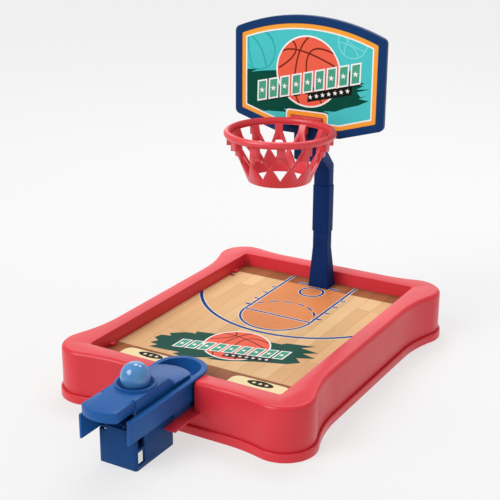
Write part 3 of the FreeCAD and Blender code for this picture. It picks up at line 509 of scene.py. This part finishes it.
class Artwork:
    """Flat shapes in paint order on one sheet. Each later shape covers the earlier ones."""

    def __init__(self, outline, paint):
        self.shapes = []
        self.add(outline, paint, None)

    def add(self, points, paint, within=0):
        points = [tuple(p) for p in points]
        if signed_area(points) < 0:
            points.reverse()
        self.shapes.append((points, paint, within))
        return len(self.shapes) - 1

    def shows(self, number, covering):
        while number is not None:
            if number not in covering:
                return False
            number = self.shapes[number][2]
        return True

    def areas(self):
        """Corners and triangles of the sheet, each triangle with the paint that shows on it."""
        corners, faces = [], []
        for points, _, _ in self.shapes:
            faces.append(list(range(len(corners), len(corners) + len(points))))
            corners += [Vector(p) for p in points]
        spots, _, triangles, _, _, sources = delaunay_2d_cdt(corners, [], faces, 1, 1e-6, True)
        painted = []
        for triangle, covering in zip(triangles, sources):
            shown = [n for n in sorted(covering, reverse=True) if self.shows(n, covering)]
            if shown and self.shapes[shown[0]][1] is not None:
                painted.append((list(triangle), self.shapes[shown[0]][1]))
        return spots, painted


def sheet_mesh(artwork, paints, place, depth, back):
    """A closed sheet: the painted front, a plain back and the cut edges between them."""
    spots, painted = artwork.areas()
    shape = bmesh.new()
    used = sorted({index for triangle, _ in painted for index in triangle})
    front = {index: shape.verts.new(place(spots[index].x, spots[index].y, 0)) for index in used}
    rear = {index: shape.verts.new(place(spots[index].x, spots[index].y, depth)) for index in used}
    order = {paint: number for number, paint in enumerate(paints)}
    rims = {}
    for triangle, paint in painted:
        corners = [front[index] for index in triangle]
        face = shape.faces.new(corners)
        face.material_index = order[paint]
        behind = shape.faces.new([rear[index] for index in reversed(triangle)])
        behind.material_index = order[back]
        for a, b in zip(triangle, triangle[1:] + triangle[:1]):
            if rims.pop((b, a), None) is None:
                rims[(a, b)] = True
    for a, b in rims:
        edge = shape.faces.new([front[b], front[a], rear[a], rear[b]])
        edge.material_index = order[back]
    bmesh.ops.recalc_face_normals(shape, faces=shape.faces)
    return shape


def add_ball_mark(art, x, y, scale):
    """A printed ball with four seams and a white outline."""
    art.add(disc(x, y, 30.3 * scale), "white")
    ball = art.add(disc(x, y, 28.9 * scale), "coral")
    seams = [((0.2, 28.9), (-8.2, 16.5), (-12.2, -3.0)), ((-27.0, 13.2), (-9.0, 17.3), (25.0, 6.6)),
             ((-15.8, 25.0), (-12.6, 14.6), (-28.0, 0.6)), ((26.0, 16.2), (4.0, 18.6), (-1.6, 0.0)),
             ((-12.2, -3.0), (-12.8, -16.0), (-7.0, -29.0)), ((-1.6, 0.0), (3.0, -10.0), (14.0, -26.0))]
    for start, through, end in seams:
        points = [(x + px * scale, y + py * scale) for px, py in bow(start, through, end)]
        art.add(strip(points, 1.45 * scale), "seam", ball)


def add_ribbon(art, x, y, scale):
    """A slanted ribbon of plain blocks with a dark shadow, and a starred strip below it."""
    def spot(along, up):
        base = Vector((-49.0, -30.0)) + Vector((98.5, 25.2)) * along
        return x + (base.x + up * -0.05) * scale, y + (base.y + up) * scale

    def block(left, right, low, high, lean=0.012):
        return [spot(left, low), spot(right, low), spot(right + lean, high), spot(left + lean, high)]

    count = 9
    share = 1 / count
    blocks = ((0.026, 0.094, -1.4, 15.6, "black"), (0.004, 0.100, -0.3, 17.4, "white"),
              (0.017, 0.087, 1.0, 16.1, "ribbon_green"))
    for inner, outer, low, high, paint in blocks:
        for number in range(count):
            art.add(block(number * share + inner, number * share + outer, low, high), paint)
    for number in range(count):
        middle = spot((number + 0.5) * share, 8.5)
        art.add(star(middle[0], middle[1], 2.7 * scale), "white")
    art.add(block(0.490, 0.905, -8.2, -0.6), "black")
    for number in range(7):
        middle = spot(0.522 + number * 0.058, -4.4)
        art.add(star(middle[0], middle[1], 2.2 * scale), "white")


def add_line(art, points, width, edge, within=0):
    art.add(strip(points, width + 2 * edge), "white", within)
    art.add(strip(points, width), "line_blue", within)


def add_arc(art, x, y, radius, width, edge, start, end):
    art.add(arc_band(x, y, radius, width + 2 * edge, start, end), "white")
    art.add(arc_band(x, y, radius, width, start, end), "line_blue")


def numeral(art, digit, x, y, high):
    """A block numeral made of bars, as on a scoreboard."""
    wide, thick = high * 0.62, high * 0.2
    bars = {"top": bar(x, x + wide, y + high - thick, y + high),
            "middle": bar(x, x + wide, y + (high - thick) / 2, y + (high + thick) / 2),
            "foot": bar(x, x + wide, y, y + thick),
            "upper left": bar(x, x + thick, y + high / 2, y + high),
            "lower left": bar(x, x + thick, y, y + high / 2),
            "upper right": bar(x + wide - thick, x + wide, y + high / 2, y + high),
            "lower right": bar(x + wide - thick, x + wide, y, y + high / 2)}
    unlit = {0: ("middle",), 1: ("top", "middle", "foot", "upper left", "lower left"),
             2: ("upper left", "lower right"), 4: ("top", "foot", "lower left")}[digit]
    for part, points in bars.items():
        if part not in unlit:
            art.add(points, "black")


def court_artwork():
    """The court's print: boards, bands, key, lines, score panels and the ribbon mark."""
    sizes = settings().sizes
    line, edge = sizes.line_width / MM, sizes.line_edge / MM
    half, front, back = CARD_HALF, CARD_FRONT, CARD_BACK
    art = Artwork(rounded_bar(-half, half, front, back, 3.0), "boards")
    art.add(bar(-half - 2, half + 2, back - 18.4, back + 2), "end_boards")
    art.add(bar(-half - 2, half + 2, front - 2, front + 36.0), "end_boards")
    lane, free_throw, key_top = 32.0, 30.0, back - 18.4
    art.add(arc_band(0, free_throw, lane / 2, lane, 180, 360, 40), "key_orange")
    art.add(bar(-lane, lane, free_throw - 0.01, key_top), "key_orange")
    add_arc(art, 2.5, 92.0, 100.5, line * 1.4, edge, 195, 345)
    add_arc(art, 0, free_throw, lane, line, edge, 180, 360)
    dash = 13.0
    for number in range(8):
        start = 6.0 + number * 22.3
        add_arc(art, 0, free_throw, lane, line, edge * 0.8, start, start + dash)
    for side in (-1, 1):
        add_line(art, [(side * lane, free_throw), (side * lane, back - 2.2)], line, edge)
        for level, thick in ((71.5, 2.1), (55.5, 2.1), (40.0, 2.8)):
            reach = [(side * (lane + 0.3), level), (side * (lane + 5.4), level)]
            add_line(art, reach, thick, edge * 0.7)
        art.add(disc(side * (lane + 3.0), 87.0, 2.7, 32), "white")
        art.add(disc(side * (lane + 3.0), 87.0, 2.3, 32), "line_blue")
        art.add(disc(side * (lane + 3.0), 87.0, 1.2, 32), "boards")
    add_line(art, [(-lane, free_throw), (lane, free_throw)], line, edge)
    add_line(art, [(-20.6, 108.6), (20.6, 108.6)], line * 1.2, edge)
    for radius, paint in ((12.1, "white"), (11.7, "line_blue"), (9.4, "white"), (9.0, "key_orange")):
        art.add(disc(0.8, 92.8, radius), paint)
    art.add([(-62.7, -55.1), (-54.5, -52.6), (-58.5, -48.6), (-48.1, -40.5), (-39.2, -38.6),
             (-41.0, -34.6), (-28.7, -31.4), (-18.6, -30.2), (23.2, -21.9), (32.3, -21.1),
             (35.0, -17.4), (58.9, -11.1), (49.6, -19.5), (66.2, -21.7), (55.6, -28.2),
             (68.4, -31.8), (54.8, -38.5), (61.8, -44.5), (53.7, -51.8), (30.2, -60.6),
             (7.2, -72.2), (-5.9, -75.5), (-1.3, -70.6), (-18.4, -79.9), (-27.7, -81.9),
             (-34.6, -80.4), (-30.7, -75.9), (-41.4, -77.5), (-58.5, -79.3), (-54.4, -72.7),
             (-62.3, -72.1), (-58.5, -65.7), (-64.4, -61.9)], "paint_green")
    add_ball_mark(art, 2.0, -41.5, 0.924)
    add_ribbon(art, 2.0, -41.5, 0.924)
    for side in (-1, 1):
        middle = 50.1 * side + 3.1
        art.add(rounded_bar(middle - 25, middle + 25, front - 6, -87.6, 7.0), "cream")
        art.add(oval(middle, -92.6, 11.2, 4.4), "black")
        for along in (-5.4, 0.0, 5.4):
            art.add(star(middle + along, -92.6, 2.2), "cream")
        for number, digit in enumerate((0, 1, 0) if side < 0 else (0, 2, 4)):
            numeral(art, digit, middle - 15.6 + number * 11.2, -116.0, 14.0)
    foot = FOOT_HIGH.x / MM + 0.4
    art.add(bar(-foot, foot, (FOOT_LOW.y - DATUM.y) / MM - 0.4, back + 3), None)
    for side in (-1, 1):
        for tab in (-92.5, 102.0):
            slot = sorted((side * (half - 4.6), side * (half + 3)))
            art.add(bar(slot[0], slot[1], tab - 10.5, tab - 6.7), None)
    return art


def board_outline(inset, notch):
    """The print's outline on the board, drawn in by inset, cut round the hoop's seat."""
    half, level = 63.3 - inset, 31.0 - inset * 0.1
    low, side_low = 187.9 + inset * 1.02, 197.2 + inset * 0.86
    crown = 274.4 - inset
    radius = 168.8 - inset
    high = crown - radius + math.sqrt(radius ** 2 - half ** 2)
    turn = math.asin(half / radius)
    points = [(half, side_low), (half, high)]
    points += [(radius * math.sin(turn * (1 - n / 20)), crown - radius + radius * math.cos(
        turn * (1 - n / 20))) for n in range(1, 40)]
    points += [(-half, high), (-half, side_low), (-level, low)]
    seat, top = 15.3 + notch, 196.9 + notch
    bend = min(notch, 3.0)
    points += [(-seat, low)]
    points += corner_points(-seat + bend, top - bend, bend, 180, 90)
    points += corner_points(seat - bend, top - bend, bend, 90, 0)
    points += [(seat, low), (level, low)]
    return points


def corner_points(x, y, radius, start, end, count=6):
    if radius <= 0:
        return [(x, y)]
    return [(x + radius * math.cos(math.radians(start + (end - start) * n / count)),
             y + radius * math.sin(math.radians(start + (end - start) * n / count)))
            for n in range(count + 1)]


def board_artwork():
    """The backboard's print: orange border, teal field, brush stroke and the ribbon mark."""
    sizes = settings().sizes
    border, line = sizes.border_width / MM, sizes.outline_width / MM
    art = Artwork(board_outline(0, 0), "border")
    art.add(board_outline(border, border), "white")
    field = art.add(board_outline(border + line, border + line), "teal")
    shaded_ball_radius = 16.6
    art.add(arc_band(-48.0, 249.0, shaded_ball_radius, 1.3, 0, 359.9, 64), "teal_shade", field)
    for start, through, end in (((-57.1, 262.0), (-56.8, 247.0), (-53.0, 233.5)),
                                ((-57.1, 262.0), (-46.0, 252.0), (-40.0, 236.0)),
                                ((-48.0, 266.0), (-37.0, 262.5), (-31.5, 251.0))):
        art.add(strip(bow(start, through, end), 1.6), "teal_shade", field)
    art.add(arc_band(40.6, 262.6, 13.0, 0.9, 0, 359.9, 64), "teal_tint", field)
    for start, through, end in (((31.0, 271.0), (38.0, 262.0), (52.0, 256.0)),
                                ((33.0, 253.0), (36.0, 264.0), (44.0, 275.0)),
                                ((46.0, 251.0), (40.0, 259.0), (27.8, 262.0))):
        art.add(strip(bow(start, through, end), 0.8), "teal_tint", field)
    art.add([(-66.0, 231.0), (-47.7, 232.4), (-54.2, 229.6), (-40.1, 232.0), (-29.3, 233.2),
             (-8.1, 236.5), (12.5, 238.3), (36.7, 239.2), (40.2, 239.4), (39.4, 233.6),
             (46.0, 231.6), (51.9, 230.4), (48.6, 228.2), (52.0, 228.4), (45.2, 224.6),
             (57.4, 226.1), (45.8, 222.4), (49.0, 218.6), (54.4, 220.1), (47.5, 217.1),
             (56.4, 216.2), (47.0, 211.4), (35.8, 207.9), (26.0, 203.8), (15.5, 203.2),
             (22.0, 201.4), (9.3, 200.9), (-3.3, 201.8), (-22.4, 200.9), (-18.0, 198.4),
             (-37.5, 197.4), (-46.9, 195.2), (-66.0, 199.6)], "paint_green", field)
    add_ball_mark(art, 0.3, 234.8, 1.0)
    add_ribbon(art, 0.3, 234.8, 1.0)
    return art


PAINTS = ("boards", "end_boards", "key_orange", "line_blue", "white", "black", "cream", "teal",
          "teal_shade", "teal_tint", "border", "coral", "seam", "paint_green", "ribbon_green",
          "card_back")


def paint_materials(names):
    """The inks of one sheet, made once and shared by both prints."""
    tones = settings().printing
    made = []
    for name in names:
        label = "ink_" + name
        material = bpy.data.materials.get(label)
        if material is None and name == "boards":
            material = board_ink(label, tones.plank_light, tones.plank_dark, (0.46, 0.24, 0.10, 1))
        elif material is None and name == "end_boards":
            band = Vector(tones.end_band)
            material = board_ink(label, band * 1.12, band * 0.88, (0.12, 0.04, 0.02, 1))
        elif material is None and name == "card_back":
            material = ink(label, (0.42, 0.40, 0.37, 1), 0.12, 0.7)
        elif material is None:
            material = ink(label, getattr(tones, name))
        made.append(material)
    return made


# ---------------------------------------------------------------- hoop and net

def net_sector(strap_half, step, low, high):
    """One strap's share of the net as flat corners (angle, height) and the solid triangles."""
    half_step = step / 2
    depth = high - low

    def level(share):
        return high - share * depth

    def turn(across, z):
        return math.degrees(math.asin(across / net_radius(z)))

    top = high + 0.6
    house_half = half_step - turn(strap_half, level(0.0))
    shoulder_z, node_z = level(0.16), level(0.50)
    art = Artwork(bar(-half_step, half_step, low, top), "net")
    for number in range(-4, 5):
        angle = number * half_step / 5
        art.add(bar(angle, angle + 0.05, low, top), "net")
    for share in (0.14, 0.93):
        art.add(bar(-half_step, half_step, level(share), level(share) + 0.05), "net")
    for centre in (-half_step, half_step):
        art.add([(centre - house_half, level(0.0)), (centre - house_half, shoulder_z),
                 (centre - turn(1.1, node_z), node_z), (centre + turn(1.1, node_z), node_z),
                 (centre + house_half, shoulder_z), (centre + house_half, level(0.0))], None)
    side_z = level(0.54)
    side = half_step - turn(1.4, side_z)
    art.add([(0, level(0.235)), (side, side_z), (side * 0.93, level(0.565)), (0, level(0.84)),
             (-side * 0.93, level(0.565)), (-side, side_z)], None)
    return art


def net_radius(z):
    """Outer radius of the net's cone at a height."""
    low, mouth = NET_LOW.z / MM, 26.4
    rim = RING_OUTER - settings().sizes.ring_tube / MM - 0.6
    return mouth + (rim - mouth) * (z - low) / (RING_Z - low)


def net_mesh():
    """The lattice wrapped round the cone, with its wall thickness."""
    sizes = settings().sizes
    low, high = NET_LOW.z / MM, RING_Z - 2.2
    wall = sizes.net_wall / MM

    step = 360.0 / sizes.strap_count
    art = net_sector(sizes.strap_half / MM, step, low, high)
    spots, painted = art.areas()
    sides = {(a, b) for corners, _ in painted for a, b in zip(corners, corners[1:] + corners[:1])}
    seam = step / 2 - 0.01
    rims = [(a, b) for a, b in sides if (b, a) not in sides
            and not (abs(spots[a].x) > seam and abs(spots[b].x) > seam)]
    shape = bmesh.new()
    for strap in range(sizes.strap_count):
        outer, inner = [], []
        for spot in spots:
            angle = math.radians(spot.x + strap * step)
            for ring, radius in ((outer, net_radius(spot.y)), (inner, net_radius(spot.y) - wall)):
                ring.append(shape.verts.new(at(radius * math.sin(angle),
                                               HOOP_Y - radius * math.cos(angle), spot.y)))
        for triangle, _ in painted:
            shape.faces.new([outer[n] for n in triangle])
            shape.faces.new([inner[n] for n in reversed(triangle)])
        for a, b in rims:
            shape.faces.new([outer[b], outer[a], inner[a], inner[b]])
    loose = [vertex for vertex in shape.verts if not vertex.link_faces]
    bmesh.ops.delete(shape, geom=loose, context="VERTS")
    bmesh.ops.remove_doubles(shape, verts=shape.verts, dist=3e-5)
    bmesh.ops.recalc_face_normals(shape, faces=shape.faces)
    return shape


def add_torus(shape, centre, radius, tube, around=120, across=20):
    rings = []
    for n in range(around):
        angle = 2 * math.pi * n / around
        ring = []
        for m in range(across):
            tilt = 2 * math.pi * m / across
            reach = radius + tube * math.cos(tilt)
            ring.append(shape.verts.new(centre + Vector((
                reach * math.sin(angle), -reach * math.cos(angle), tube * math.sin(tilt))) * MM))
        rings.append(ring)
    for n in range(around):
        first, second = rings[n], rings[(n + 1) % around]
        for m in range(across):
            k = (m + 1) % across
            shape.faces.new([first[m], second[m], second[k], first[k]])


def add_block(shape, corner_sets):
    """A closed block from its lower and upper outlines."""
    low = [shape.verts.new(point) for point in corner_sets[0]]
    high = [shape.verts.new(point) for point in corner_sets[1]]
    shape.faces.new(low[::-1])
    shape.faces.new(high)
    count = len(low)
    for n in range(count):
        k = (n + 1) % count
        shape.faces.new([low[n], low[k], high[k], high[n]])


def add_strap_steps(shape, angle, strap_half, ring_radius):
    """The two stair steps under the ring where a strap hangs from it."""
    outward = Vector((math.sin(angle), -math.cos(angle), 0))
    across = Vector((math.cos(angle), math.sin(angle), 0))
    centre = at(0, HOOP_Y, 0)
    for low, high, reach in ((RING_Z - 9.8, RING_Z - 0.8, ring_radius + 0.4),
                             (RING_Z - 14.8, RING_Z - 9.0, ring_radius - 3.0)):
        outlines = []
        for z in (low, high):
            root = net_radius(z) - 1.4
            outlines.append([centre + (outward * r + across * s + Vector((0, 0, z))) * MM
                             for r, s in ((root, -strap_half), (reach, -strap_half),
                                          (reach, strap_half), (root, strap_half))])
        add_block(shape, outlines)


def block_shape(outlines, width):
    shape = bmesh.new()
    add_block(shape, outlines)
    bmesh.ops.recalc_face_normals(shape, faces=shape.faces)
    soften_edges(shape, width)
    return shape


def absorb(shape, other):
    """Move another bmesh into this one."""
    copy = bpy.data.meshes.new("part")
    other.to_mesh(copy)
    other.free()
    shape.from_mesh(copy)
    bpy.data.meshes.remove(copy)


# ---------------------------------------------------------------- operators

class HOOPGAME_OT_stage(bpy.types.Operator):
    """Make the floor, the soft lights and the camera"""
    bl_idname = "hoopgame.stage"
    bl_label = "Stage"

    def execute(self, context):
        stage = settings().stage
        scene = context.scene
        shape = bmesh.new()
        half = stage.floor_half
        shape.faces.new([shape.verts.new((x * half, y * half, 0)) for x, y in
                         ((-1, -1), (1, -1), (1, 1), (-1, 1))])
        material, graph, surface = new_material("pale_floor")
        layer = place_group(graph, printed_ink(), Ink=tuple(stage.floor_tone), Mottle=0.004,
                            Varnish=0.85)
        wear_skin(graph, surface, layer)
        surface.inputs["Specular IOR Level"].default_value = 0.0
        surface.inputs["Emission Color"].default_value = (1.0, 1.0, 1.0, 1)
        surface.inputs["Emission Strength"].default_value = stage.floor_glow
        floor = new_piece("floor", shape, [material])

        world = bpy.data.worlds.new("soft_room")
        world.use_nodes = True
        backdrop = world.node_tree.nodes["Background"]
        backdrop.inputs["Color"].default_value = (1.0, 1.0, 1.0, 1)
        backdrop.inputs["Strength"].default_value = stage.sky_light
        scene.world = world
        self.add_sun("key", stage.key_light, (-0.45, -0.72, 0.78), 34)
        self.add_sun("rim", stage.key_light * 0.26, (-0.47, 0.81, 0.40), 50)
        middle = (CAD_LOW + CAD_HIGH) / 2
        for name, offset in (("window_left", (-0.33, 0.49, 1.01)), ("window_right", (0.12, 0.75, 1.01))):
            self.add_window(name, middle, Vector(offset))
        self.add_camera(scene, stage, middle)
        scene.view_settings.view_transform = "Standard"
        return {"FINISHED"}

    def add_sun(self, name, strength, toward, spread):
        data = bpy.data.lights.new(name, "SUN")
        data.energy = strength
        data.angle = math.radians(spread)
        lamp = bpy.data.objects.new(name, data)
        lamp.rotation_mode = "QUATERNION"
        lamp.rotation_quaternion = Vector(toward).to_track_quat("Z", "Y")
        bpy.context.scene.collection.objects.link(lamp)

    def add_window(self, name, middle, offset):
        data = bpy.data.lights.new(name, "AREA")
        data.energy = 3.0
        data.shape = "RECTANGLE"
        data.size = 0.34
        data.size_y = 0.34
        lamp = bpy.data.objects.new(name, data)
        lamp.location = middle + offset
        lamp.rotation_mode = "QUATERNION"
        lamp.rotation_quaternion = offset.to_track_quat("Z", "Y")
        bpy.context.scene.collection.objects.link(lamp)

    def add_camera(self, scene, stage, middle):
        data = bpy.data.cameras.new("camera")
        data.lens = stage.lens
        data.sensor_width = 36.0
        data.clip_start = 0.01
        data.clip_end = 100.0
        camera = bpy.data.objects.new("camera", data)
        turn, lift = stage.azimuth, stage.elevation
        back = Vector((math.sin(turn) * math.cos(lift), -math.cos(turn) * math.cos(lift),
                       math.sin(lift)))
        aim = middle + Vector(stage.aim_offset)
        camera.location = aim + back * stage.distance
        camera.rotation_mode = "QUATERNION"
        camera.rotation_quaternion = ((-back).to_track_quat("-Z", "Y")
                                      @ Quaternion((0, 0, 1), stage.roll))
        scene.collection.objects.link(camera)
        scene.camera = camera


class HOOPGAME_OT_tray(bpy.types.Operator):
    """Mould the tray and its bottom cover"""
    bl_idname = "hoopgame.tray"
    bl_label = "Tray"

    def execute(self, context):
        tones = settings().plastics
        red = plastic("tray_plastic", tones.tray_red, 0.32, shine=0.32)
        for node, name in (("base_shell", "tray"), ("base_cover", "tray_cover")):
            set_on(softened_copy(node, tones.edge_round * 1.6, name, red), "machine", "red_plastic", node)
        return {"FINISHED"}


class HOOPGAME_OT_court(bpy.types.Operator):
    """Print the court card"""
    bl_idname = "hoopgame.court"
    bl_label = "Court print"

    def execute(self, context):
        top = CARD_HIGH.z / MM
        shape = sheet_mesh(court_artwork(), PAINTS, lambda x, y, d: at(x, y, top - d),
                           (CARD_HIGH.z - CARD_LOW.z) / MM, "card_back")
        card = new_piece("court_print", shape, paint_materials(PAINTS))
        set_on(card, "machine", "printed_card", "court_card")
        return {"FINISHED"}


class HOOPGAME_OT_mast(bpy.types.Operator):
    """Mould the mast's foot, collar and upright"""
    bl_idname = "hoopgame.mast"
    bl_label = "Mast"

    def execute(self, context):
        tones = settings().plastics
        navy = plastic("mast_plastic", tones.mast_navy, 0.50, shine=0.08)
        for node, name in (("mast_foot", "mast_lower"), ("mast_sleeve", "mast_collar"),
                           ("mast_upper", "mast_arm")):
            set_on(softened_copy(node, tones.edge_round, name, navy), "machine", "navy_plastic", node)
        return {"FINISHED"}


class HOOPGAME_OT_backboard(bpy.types.Operator):
    """Mould the backboard's frame and print its face"""
    bl_idname = "hoopgame.backboard"
    bl_label = "Backboard"

    def execute(self, context):
        tones = settings().plastics
        blue = plastic("board_plastic", tones.board_blue, 0.36, shine=0.10)
        board = softened_copy("backboard_frame", tones.edge_round, "board_frame", blue)
        set_on(board, "machine", "board_blue_plastic", "backboard_frame")
        face = PRINT_LOW.y
        shape = sheet_mesh(board_artwork(), PAINTS,
                           lambda x, z, d: Vector((x * MM, face + d * MM, z * MM)),
                           (PRINT_HIGH.y - PRINT_LOW.y) / MM, "card_back")
        sheet = new_piece("board_print", shape, paint_materials(PAINTS))
        set_on(sheet, "machine", "printed_board", "backboard_print")
        return {"FINISHED"}


class HOOPGAME_OT_hoop(bpy.types.Operator):
    """Mould the hoop, its net and the seat that joins them to the board"""
    bl_idname = "hoopgame.hoop"
    bl_label = "Hoop and net"

    def execute(self, context):
        sizes = settings().sizes
        tube = sizes.ring_tube / MM
        strap = sizes.strap_half / MM
        ring = RING_OUTER - tube
        shape = net_mesh()
        soften_edges(shape, sizes.net_round)
        add_torus(shape, at(0, HOOP_Y, RING_Z), ring, tube)
        for number in range(sizes.strap_count):
            steps = bmesh.new()
            add_strap_steps(steps, 2 * math.pi * number / sizes.strap_count, strap, ring)
            bmesh.ops.recalc_face_normals(steps, faces=steps.faces)
            soften_edges(steps, sizes.net_round)
            absorb(shape, steps)
        seat_back = NET_HIGH.y
        face = (seat_back - DATUM.y) / MM
        outlines = [[at(x, y, z) for x, y in ((-15, face - 2.6), (15, face - 2.6), (15, face), (-15, face))]
                    for z in (RING_Z - 4.2, NET_HIGH.z / MM)]
        absorb(shape, block_shape(outlines, sizes.net_round * 1.5))
        corners = ((-14, face - 6.5), (14, face - 6.5), (14, face - 1), (-14, face - 1))
        outlines = [[at(x, y, z) for x, y in corners] for z in (RING_Z - 2.4, RING_Z + 2.4)]
        absorb(shape, block_shape(outlines, sizes.net_round))
        tones = settings().plastics
        red = plastic("hoop_plastic", tones.hoop_red, 0.34, coat=0.15)
        hoop = new_piece("hoop_and_net", shape, [red], 50.0)
        set_on(hoop, "machine", "hoop_red_plastic", "hoop_net")
        return {"FINISHED"}


class HOOPGAME_OT_launcher(bpy.types.Operator):
    """Mould the launcher's trough, leg and lever"""
    bl_idname = "hoopgame.launcher"
    bl_label = "Launcher"

    def execute(self, context):
        tones = settings().plastics
        blue = plastic("launcher_plastic", tones.launcher_blue, 0.32, shine=0.13)
        # The leg's plastic carries painted shade: the launcher blue darkened because the leg stands in
        # shadow under the trough.
        deep = plastic("leg_plastic_painted_shade", tones.leg_blue_painted_shade, 0.36, shine=0.08)
        for node, name, body, material in (
                ("launcher_housing", "launcher_trough", "machine", blue),
                ("launcher_stand", "launcher_leg", "machine", deep),
                ("launch_lever", "flick_lever", "lever", blue)):
            set_on(softened_copy(node, tones.edge_round, name, material), body,
                   "launcher_blue_plastic", node)
        return {"FINISHED"}


class HOOPGAME_OT_ball(bpy.types.Operator):
    """Make the ball of translucent plastic"""
    bl_idname = "hoopgame.ball"
    bl_label = "Ball"

    def execute(self, context):
        shape = bmesh.new()
        radius = (BALL_HIGH.x - BALL_LOW.x) / 2
        bmesh.ops.create_uvsphere(shape, u_segments=72, v_segments=48, radius=radius)
        bmesh.ops.translate(shape, verts=shape.verts, vec=(BALL_LOW + BALL_HIGH) / 2)
        made, graph, surface = new_material("ball_plastic")
        skin = place_group(graph, moulded_skin(), Colour=tuple(settings().plastics.ball_blue),
                           Mottle=0.05, Roughness=0.16, Grain_Depth=0.03)
        wear_skin(graph, surface, skin)
        surface.inputs["Subsurface Weight"].default_value = 0.35
        surface.inputs["Subsurface Radius"].default_value = (0.3, 0.7, 1.0)
        surface.inputs["Subsurface Scale"].default_value = 0.008
        surface.inputs["Coat Weight"].default_value = 0.4
        surface.inputs["Coat Roughness"].default_value = 0.06
        ball = new_piece("game_ball", shape, [made], 180.0)
        set_on(ball, "loose_ball", "ball_plastic", "ball")
        return {"FINISHED"}


class HOOPGAME_OT_hardware(bpy.types.Operator):
    """Give the spring, the pin and the screws their metal"""
    bl_idname = "hoopgame.hardware"
    bl_label = "Springs, pin and screws"

    def execute(self, context):
        plated, sprung = steel("plated_screw", 0.34), steel("spring_wire", 0.26, (0.50, 0.50, 0.52, 1))
        for name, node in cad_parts.items():
            if "screw" in name or name in ("lever_pin", "lever_spring"):
                node.data.materials.clear()
                node.data.materials.append(sprung if name == "lever_spring" else plated)
        return {"FINISHED"}


STEPS = (HOOPGAME_OT_stage, HOOPGAME_OT_tray, HOOPGAME_OT_court, HOOPGAME_OT_mast,
         HOOPGAME_OT_backboard, HOOPGAME_OT_hoop, HOOPGAME_OT_launcher, HOOPGAME_OT_ball,
         HOOPGAME_OT_hardware)


class HOOPGAME_PT_panel(bpy.types.Panel):
    """The game's pieces and their settings"""
    bl_idname = "HOOPGAME_PT_panel"
    bl_label = "Hoop Game"
    bl_space_type = "VIEW_3D"
    bl_region_type = "UI"
    bl_category = "Hoop Game"

    def draw(self, context):
        layout = self.layout
        for step in STEPS:
            layout.operator(step.bl_idname)
        for group in (settings().plastics, settings().printing, settings().sizes, settings().stage):
            box = layout.box()
            for name in group.__annotations__:
                box.prop(group, name)


CLASSES = (HoopGamePlastics, HoopGamePrint, HoopGameSizes, HoopGameStage, HoopGameSettings,
           *STEPS, HOOPGAME_PT_panel)


def register():
    for item in CLASSES:
        bpy.utils.register_class(item)
    bpy.types.Scene.hoop_game = PointerProperty(type=HoopGameSettings)


def unregister():
    del bpy.types.Scene.hoop_game
    for item in reversed(CLASSES):
        bpy.utils.unregister_class(item)


def main():
    register()
    for step in STEPS:
        group, name = step.bl_idname.split(".")
        if getattr(getattr(bpy.ops, group), name)() != {"FINISHED"}:
            raise RuntimeError(step.bl_label + " wasn't finished")


if __name__ == "__main__":
    main()
